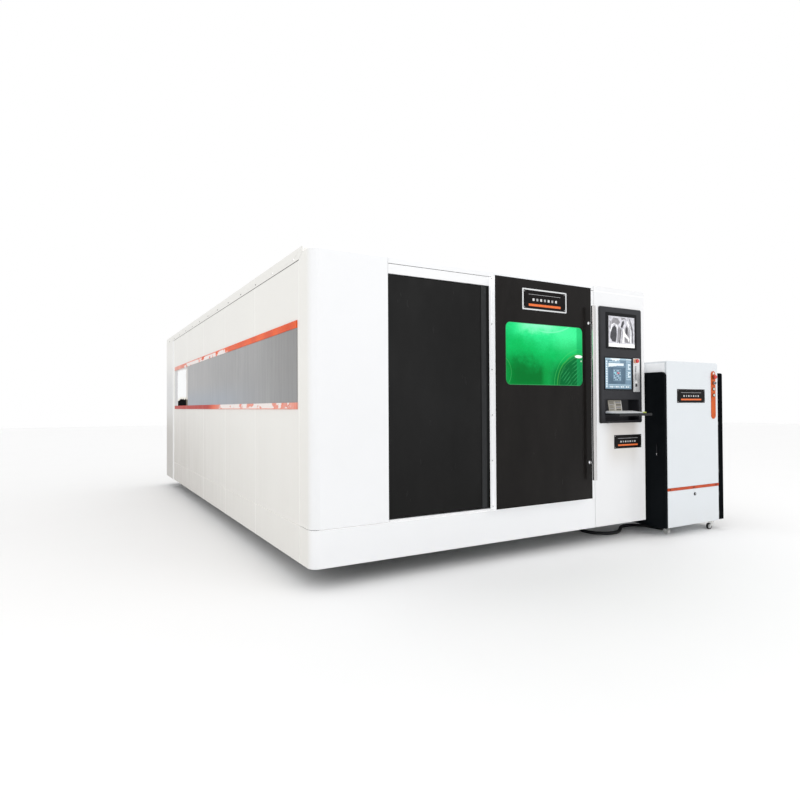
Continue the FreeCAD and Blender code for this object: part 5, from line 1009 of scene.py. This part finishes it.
for k in range(3):
    for j in range(9):
        cell(0.815 + k * 0.052, 0.855 + k * 0.052, 0.33 + j * 0.064, 0.37 + j * 0.064, "ui_white" if (k * j) % 4 else "ui_base", 2)
for k in range(13):
    cell(0.12 + k * 0.066, 0.165 + k * 0.066, 0.05, 0.10, "ui_white" if k % 3 else "ui_light", 2)
cell(0.12, 0.97, 0.12, 0.15, "ui_light")
# painted reflection: a pale blotch at the top of the touch screen
shape(lo, TCH_PIC, [(0.20, 0.998), (0.205, 0.945), (0.25, 0.955), (0.28, 0.915), (0.34, 0.935), (0.40, 0.90), (0.45, 0.93), (0.52, 0.925),
                    (0.55, 0.965), (0.56, 0.998)], SC["ui_white"], 5)
shape(lo, TCH_PIC, [(0.12, 0.70), (0.17, 0.73), (0.26, 0.725), (0.33, 0.745), (0.42, 0.74), (0.42, 0.765), (0.12, 0.765)], SC["ui_white"], 5)
for k in range(4):
    cell(0.80 + 0.045 * k, 0.83 + 0.045 * k, 0.955, 0.985, "ui_white", 3)
lo.done("enclosure")

# ---------------------------------------------------------------------------
# console: keys, lock and port on the silver strip
# ---------------------------------------------------------------------------
sk = Builder("strip_keys")
YS = -14.0
ESX, ESZ = 3434.0, 1757.0
for k in range(11):
    z = 1706.0 - k * 12.6
    for j in range(2):
        x = ESX - 10.5 + j * 12.0
        sk.soft_key(x, x + 9.0, z - 8.5, z, YS - 1.6, YS + 1.0, 1.8,
                    SC["key_dark"] if (k * 3 + j) % 5 else SC["plate_grey"], 0.7)
sk.done("enclosure")
sp = Builder("strip_port")
sp.rbox_y(ESX - 8, ESX + 18, 1535, 1554, YS - 4.0, YS, 4.0, SC["white_bit"])
sp.rbox_y(ESX - 4.4, ESX + 16.4, 1502.6, 1529.4, YS + 1.2, YS + 2.4, 1.0, SC["dark_bit"])
sp.ring_frame(round_loop(ESX - 9, ESX + 21, 1498, 1534, 3.0), round_loop(ESX - 4.6, ESX + 16.6, 1502.4, 1529.6, 1.5),
              YS - 1.4, YS, SC["plate_grey"], 0.6)
sp.rbox_y(ESX - 1, ESX + 13, 1506, 1526, YS - 5.0, YS + 1.2, 3.0, SC["dark_bit"])
sp.done("enclosure")
er = Builder("console_stop_ring")
er.lathe_y(ESX, ESZ, [(17.1, -14.0), (22.0, -14.0), (22.4, -15.2), (21.6, -17.0), (17.6, -18.0), (17.1, -17.6), (17.1, -14.0)], SC["amber"])
er.done("enclosure", smooth=True)

# ---------------------------------------------------------------------------
# keyboard caps, card and marker on the tray
# ---------------------------------------------------------------------------
TRAY_Z = 1226.0
kb = Builder("keyboard_caps")
KBY0, KBY1, KBX0, KBX1 = -128.0, 6.0, 3008.0, 3400.0


def kb_z(y):
    return TRAY_Z + 17.0 + (y - KBY0) / (KBY1 - KBY0) * 15.0


def cap(x0, x1, y0, y1, m):
    """Key cap on the sloped deck."""
    s = kb.slot(m)
    lift, inset = 6.0, 1.6

    def loop(a, dz):
        pts = []
        for (cx, cy, a0) in ((x1 - a - 1.2, y0 + a + 1.2, -90), (x1 - a - 1.2, y1 - a - 1.2, 0),
                             (x0 + a + 1.2, y1 - a - 1.2, 90), (x0 + a + 1.2, y0 + a + 1.2, 180)):
            for k in range(3):
                t = math.radians(a0 + 45 * k)
                x, y = cx + 1.2 * math.cos(t), cy + 1.2 * math.sin(t)
                pts.append(D(x, y, kb_z(y) + dz))
        return pts
    kb.loft([loop(0.0, 0.0), loop(0.2, lift * 0.4), loop(inset, lift)], s)


rows = [(-122.0, [19.0] * 22), (-102.5, [19.0] * 22), (-83.0, [28.0] + [19.0] * 20 + [10.0]),
        (-63.5, [32.0] + [19.0] * 18 + [42.0]), (-44.0, [24.0, 24.0] + [110.0] + [24.0] * 6 + [19.0] * 6),
        (-20.0, [19.0] * 22)]
for (y, ws) in rows:
    total = sum(ws)
    x = KBX0 + 6.0
    k = (KBX1 - KBX0 - 12.0) / total
    for i, w in enumerate(ws):
        cap(x + 0.7, x + w * k - 0.7, y + 0.7, y + 17.5, M["keys"])
        x += w * k
kb.done("tray")

cd = Builder("document_card")
cs = cd.slot(SC["card"])


def leaning(x0, x1, y_base, z0, h, thick, tilt, m, off=0.0):
    s = cd.slot(m)
    t = math.radians(tilt)
    o = len(cd.v)
    for dy in (-off - thick, -off):
        for (x, u) in ((x0, 0.0), (x1, 0.0), (x1, h), (x0, h)):
            cd.v.append(D(x, y_base + u * math.sin(t) + dy * math.cos(t), z0 + u * math.cos(t) - dy * math.sin(t)))
    cd.f += [[o, o + 1, o + 2, o + 3], [o + 7, o + 6, o + 5, o + 4], [o, o + 4, o + 5, o + 1],
             [o + 1, o + 5, o + 6, o + 2], [o + 2, o + 6, o + 7, o + 3], [o + 3, o + 7, o + 4, o]]
    cd.i += [s] * 6


CT, CB = 8.0, 18.0
leaning(3084, 3272, CB, TRAY_Z + 3.4, 139, 4.0, CT, SC["card"])


def print_bar(x0, x1, u, h, m):
    leaning(x0, x1, CB + u * math.sin(math.radians(CT)), TRAY_Z + 3.4 + u * math.cos(math.radians(CT)), h, 0.5, CT, m, 4.0)


for k in range(9):
    print_bar(3094 + 3 * (k % 2), 3168 - 7 * (k % 3), 14 + 13 * k, 6.0, SC["card_print"] if k % 3 else SC["pic_mid"])
for k in range(5):
    print_bar(3186 + 4 * (k % 2), 3262 - 5 * (k % 3), 16 + 23 * k, 13.0, SC["card_print"] if k % 2 else SC["pic_mid"])
print_bar(3176, 3180, 8, 124, SC["white_bit"])
print_bar(3264, 3270, 4, 132, SC["white_bit"])
cd.done("tray")

# small cleaning pad beside the keyboard
pad = Builder("cleaning_pad")
pad.loft([[D(x, y, z) for (x, y) in round_loop(3404 + i, 3458 - i, -120 + i, -6 - i, 8)]
          for (z, i) in ((TRAY_Z + 3.4, 1.5), (TRAY_Z + 6, 0.2), (TRAY_Z + 18, 0.0), (TRAY_Z + 24, 1.2), (TRAY_Z + 26, 4.5))],
         pad.slot(SC["lime"]))
pad.done("tray", smooth=True)

# ---------------------------------------------------------------------------
# door: window gasket, plate and its frame
# ---------------------------------------------------------------------------
WIN = (1705.0, 2620.0, 1492.0, 2033.0)
ga = Builder("window_gasket")
ga.ring_frame(round_loop(WIN[0] + 0.3, WIN[1] - 0.3, WIN[2] + 0.3, WIN[3] - 0.3, 51.7, 8),
              round_loop(WIN[0] + 5, WIN[1] - 5, WIN[2] + 5, WIN[3] - 5, 47, 8), -84.0, -81.0, M["gasket"], 1.0)
ga.done("sliding_door")


def plate(name, box4, y_face, body, frame_w, framed):
    """Black plate with a plain centred row of small squares between two fine lines."""
    x0, x1, z0, z1 = box4
    b = Builder(name)
    if framed:
        b.ring_frame(round_loop(x0 + 0.2, x1 - 0.2, z0 + 0.2, z1 - 0.2, 9, 5),
                     round_loop(x0 + frame_w, x1 - frame_w, z0 + frame_w, z1 - frame_w, 5, 5),
                     y_face - 3.2, y_face, M["alu"], 1.4)
    i = frame_w if framed else 1.0
    b.rbox_y(x0 + i, x1 - i, z0 + i, z1 - i, y_face - 0.9, y_face - 0.02, 3.5, SC["plate_black"])
    w, h = x1 - x0, z1 - z0
    cz = (z0 + z1) / 2
    q = h * 0.12
    for k in range(7):
        cx = (x0 + x1) / 2 + (k - 3) * w * 0.085
        b.rbox_y(cx - q / 2, cx + q / 2, cz - q / 2, cz + q / 2, y_face - 1.2, y_face - 0.85, q * 0.2,
                 SC["plate_pale"] if k % 2 == 0 else SC["plate_grey"])
    b.rbox_y(x0 + w * 0.14, x1 - w * 0.14, cz + 0.24 * h - 1.6, cz + 0.24 * h + 1.6, y_face - 1.2, y_face - 0.85,
             1.2, SC["plate_grey"])
    b.rbox_y(x0 + w * 0.14, x1 - w * 0.14, cz - 0.31 * h, cz - 0.20 * h, y_face - 1.2, y_face - 0.85,
             1.2, SC["plate_orange"])
    for (sx, sz) in ((x0 + 12 + i, z0 + 12 + i), (x1 - 12 - i, z0 + 12 + i), (x1 - 12 - i, z1 - 12 - i), (x0 + 12 + i, z1 - 12 - i)):
        b.lathe_y(sx, sz, [(3.6, y_face - 0.85), (3.6, y_face - 1.6), (2.6, y_face - 2.2), (0.4, y_face - 2.3)], M["zinc"], 14)
    return b.done(body)


plate("door_plate_face", (1888.0, 2408.0, 2144.0, 2329.0), -91.0, "sliding_door", 13.0, True)
plate("console_plate_face", (3124.0, 3523.0, 893.0, 1027.0), -2.5, "enclosure", 4.0, False)
plate("cabinet_plate_face", (3812.0, 4270.0, 1338.0, 1478.0), -202.5, "cabinet_door", 4.0, False)

# ---------------------------------------------------------------------------
# cabinet: rings, lamp, lock furniture
# ---------------------------------------------------------------------------
CX, CF = 4418.5, -206.0
# painted shadow: the rings round the buttons are dark reddish
rg = Builder("control_rings")
for z, r in ((1609.0, 17.1), (1545.0, 15.1), (1483.0, 15.1), (1418.0, 15.1)):
    rg.lathe_y(CX, z, [(r, CF), (r + 5.0, CF), (r + 5.4, CF - 1.6), (r + 4.0, CF - 4.6), (r + 0.8, CF - 6.4),
                       (r, CF - 6.0), (r, CF)], SC["ring_shadow"], 32)
rg.done("cabinet_door", smooth=True)
lp = Builder("control_lamp")
lp.lathe_y(CX, 1647.0, [(11.5, CF), (11.5, CF - 2.0), (9.6, CF - 3.4), (9.0, CF - 3.4), (8.6, CF - 6.0), (6.5, CF - 8.6),
                        (3.4, CF - 10.2), (0.3, CF - 10.6)], SC["white_bit"], 28)
lp.done("cabinet_door", smooth=True)
lk = Builder("side_lock")
lk.prism(round_loop(-114, -104, 814, 926, 4.0), 0, 1, SC["dark_bit"])
lk.prism(round_loop(-111.5, -107.5, 818, 838, 1.8), 1, 2, M["chrome"])
# the prism above is laid out in (y, z); turn it to stand on the left cover
lk.v = [Vector(D(3616.0 - 1.5 * (v.y * 1000.0 + OY), v.x * 1000.0 + OX, v.z * 1000.0)) for v in lk.v]
lk.done("enclosure")
ld = Builder("lower_lock")
ld.lathe_y(4088.0, 406.0, [(13.2, -205.0), (16.0, -200.2), (16.4, -201.8), (14.6, -205.4), (12.6, -206.2), (11.6, -205.2)], SC["dark_bit"], 28)
ld.lathe_y(4088.0, 406.0, [(11.4, -205.0), (11.2, -205.6), (9.5, -206.2), (8.0, -205.4)], SC["dark_bit"], 28)
ld.lathe_y(4088.0, 406.0, [(6.0, -205.2), (5.8, -206.0), (4.6, -206.4), (3.6, -206.0)], M["zinc"], 20)
ld.done("lower_door", smooth=True)

# ---------------------------------------------------------------------------
# floor conduit: ribbed hose along a smooth line
# ---------------------------------------------------------------------------
CON_D = 0.034
ROUTE = [(3281.0, 774.0, 410.0), (3281.0, 774.0, 263.0), (3279.0, 768.0, 158.0), (3269.5, 713.0, 69.0),
         (3244.0, 624.7, 18.0), (3205.0, 527.3, 18.0), (3155.6, 434.6, 18.0), (3156.6, 337.4, 18.0),
         (3204.1, 252.4, 18.0), (3286.4, 200.5, 18.0), (3383.6, 194.4, 18.0), (3482.0, 240.5, 18.0),
         (3579.0, 311.0, 18.0), (3672.0, 375.0, 18.0), (3777.0, 382.0, 18.0), (3871.0, 336.0, 18.0),
         (3930.0, 249.0, 18.0), (3937.0, 144.0, 18.0), (3938.0, 40.0, 18.0), (3938.0, -51.8, 69.0),
         (3938.0, -107.4, 158.0), (3938.0, -113.0, 263.0), (3938.0, -113.0, 325.0)]
cu = bpy.data.curves.new("conduit_line", "CURVE")
cu.dimensions = "3D"
cu.resolution_u = 24
spn = cu.splines.new("NURBS")
spn.points.add(len(ROUTE) - 1)
for p, q in zip(spn.points, ROUTE):
    d = D(*q)
    p.co = (d.x, d.y, d.z, 1.0)
spn.order_u = 3
spn.use_endpoint_u = True
line = bpy.data.objects.new("conduit_line", cu)
bpy.context.scene.collection.objects.link(line)
bpy.context.view_layer.update()
me = bpy.data.meshes.new_from_object(line)
PTS = [v.co.copy() for v in me.vertices]
bpy.data.objects.remove(line)
bpy.data.meshes.remove(me)

cum = [0.0]
for a, b in zip(PTS[:-1], PTS[1:]):
    cum.append(cum[-1] + (b - a).length)
LEN = cum[-1]


def at(s):
    s = min(max(s, 0.0), LEN)
    lo_i, hi_i = 0, len(cum) - 1
    while hi_i - lo_i > 1:
        mid = (lo_i + hi_i) // 2
        if cum[mid] <= s:
            lo_i = mid
        else:
            hi_i = mid
    t = (s - cum[lo_i]) / max(1e-9, cum[hi_i] - cum[lo_i])
    return PTS[lo_i].lerp(PTS[hi_i], t)


PITCH = 0.0068
STEPS = 4
count = int(LEN / (PITCH / STEPS))
SIDES = 14
verts, faces = [], []
up_v = Vector((1.0, 0.0, 0.0))
for k in range(count + 1):
    s = LEN * k / count
    c = at(s)
    tan = (at(s + 0.004) - at(s - 0.004)).normalized()
    up_v = (up_v - tan * up_v.dot(tan)).normalized()
    side = tan.cross(up_v)
    ph = (s / PITCH) % 1.0
    r = CON_D / 2 - 0.0011 * (0.5 - 0.5 * math.cos(2 * math.pi * ph))
    for j in range(SIDES):
        a = 2 * math.pi * j / SIDES
        verts.append(c + up_v * (r * math.cos(a)) + side * (r * math.sin(a)))
for k in range(count):
    for j in range(SIDES):
        q = (j + 1) % SIDES
        faces.append([k * SIDES + j, k * SIDES + q, (k + 1) * SIDES + q, (k + 1) * SIDES + j])
faces.append(list(range(SIDES)))
faces.append(list(range(count * SIDES + SIDES - 1, count * SIDES - 1, -1)))
hose = mesh_object("floor_hose", verts, faces, [M["rubber"]], smooth=True)
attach(hose, "enclosure")
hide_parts("floor_conduit")

# ---------------------------------------------------------------------------
# floor, light and camera
# ---------------------------------------------------------------------------
fl = mesh_object("studio_floor", [(-40, -40, 0), (40, -40, 0), (40, 40, 0), (-40, 40, 0)], [[0, 1, 2, 3]], [])
mf, ntf, bf = new_mat("floor_surface")
nfl = noise(ntf, coords(ntf), 0.8, 3.0)
ntf.links.new(mixc(ntf, remap(ntf, nfl, 0.3, 0.7, 0.0, 1.0), (0.955, 0.955, 0.955), (0.965, 0.965, 0.965)), bf.inputs["Base Color"])
bf.inputs["Roughness"].default_value = 0.7
bf.inputs["Specular IOR Level"].default_value = 0.2
fl.data.materials.append(mf)

sc = bpy.context.scene
w = bpy.data.worlds.new("studio")
sc.world = w
w.use_nodes = True
bg = w.node_tree.nodes["Background"]
bg.inputs[0].default_value = (1.0, 1.0, 1.0, 1.0)
bg.inputs[1].default_value = 1.0


def area(name, loc, target, size, power, color=(1, 1, 1)):
    li = bpy.data.lights.new(name, "AREA")
    li.shape = "RECTANGLE"
    li.size, li.size_y = size
    li.energy = power
    li.color = color
    o = bpy.data.objects.new(name, li)
    sc.collection.objects.link(o)
    o.location = loc
    o.rotation_euler = (Vector(target) - Vector(loc)).to_track_quat("-Z", "Y").to_euler()
    return o


area("key", (3.0, -11.0, 6.5), (0.0, -2.5, 1.2), (7.0, 4.0), 150.0)
area("fill", (-9.0, -6.0, 4.0), (-2.3, -3.0, 1.4), (4.0, 3.0), 45.0, (1.0, 0.985, 0.96))

sc.view_settings.view_transform = "Standard"
sc.view_settings.look = "None"
sc.view_settings.exposure = 0.0
sc.view_settings.gamma = 1.0

yaw, pitch, roll = 0.5191424, 0.012035, -0.0051963
fw = Vector((math.sin(yaw) * math.cos(pitch), math.cos(yaw) * math.cos(pitch), math.sin(pitch)))
rt = Vector((math.cos(yaw), -math.sin(yaw), 0.0))
upv = rt.cross(fw)
c, s = math.cos(roll), math.sin(roll)
cr = rt * c + upv * s
cup = rt * (-s) + upv * c
cam = bpy.data.cameras.new("photo_camera")
cam.sensor_width = 36.0
cam.sensor_fit = "HORIZONTAL"
cam.lens = 580.3926 / 800.0 * 36.0
cam.clip_start = 0.05
cam.clip_end = 200.0
co = bpy.data.objects.new("photo_camera", cam)
sc.collection.objects.link(co)
mw = Matrix.Identity(4)
for i in range(3):
    mw[i][0], mw[i][1], mw[i][2] = cr[i], cup[i], -fw[i]
loc = Vector((-1.48689 - OX / 1000.0, -3.87715 - OY / 1000.0, 1.3112))
mw[0][3], mw[1][3], mw[2][3] = loc
co.matrix_world = mw
sc.camera = co
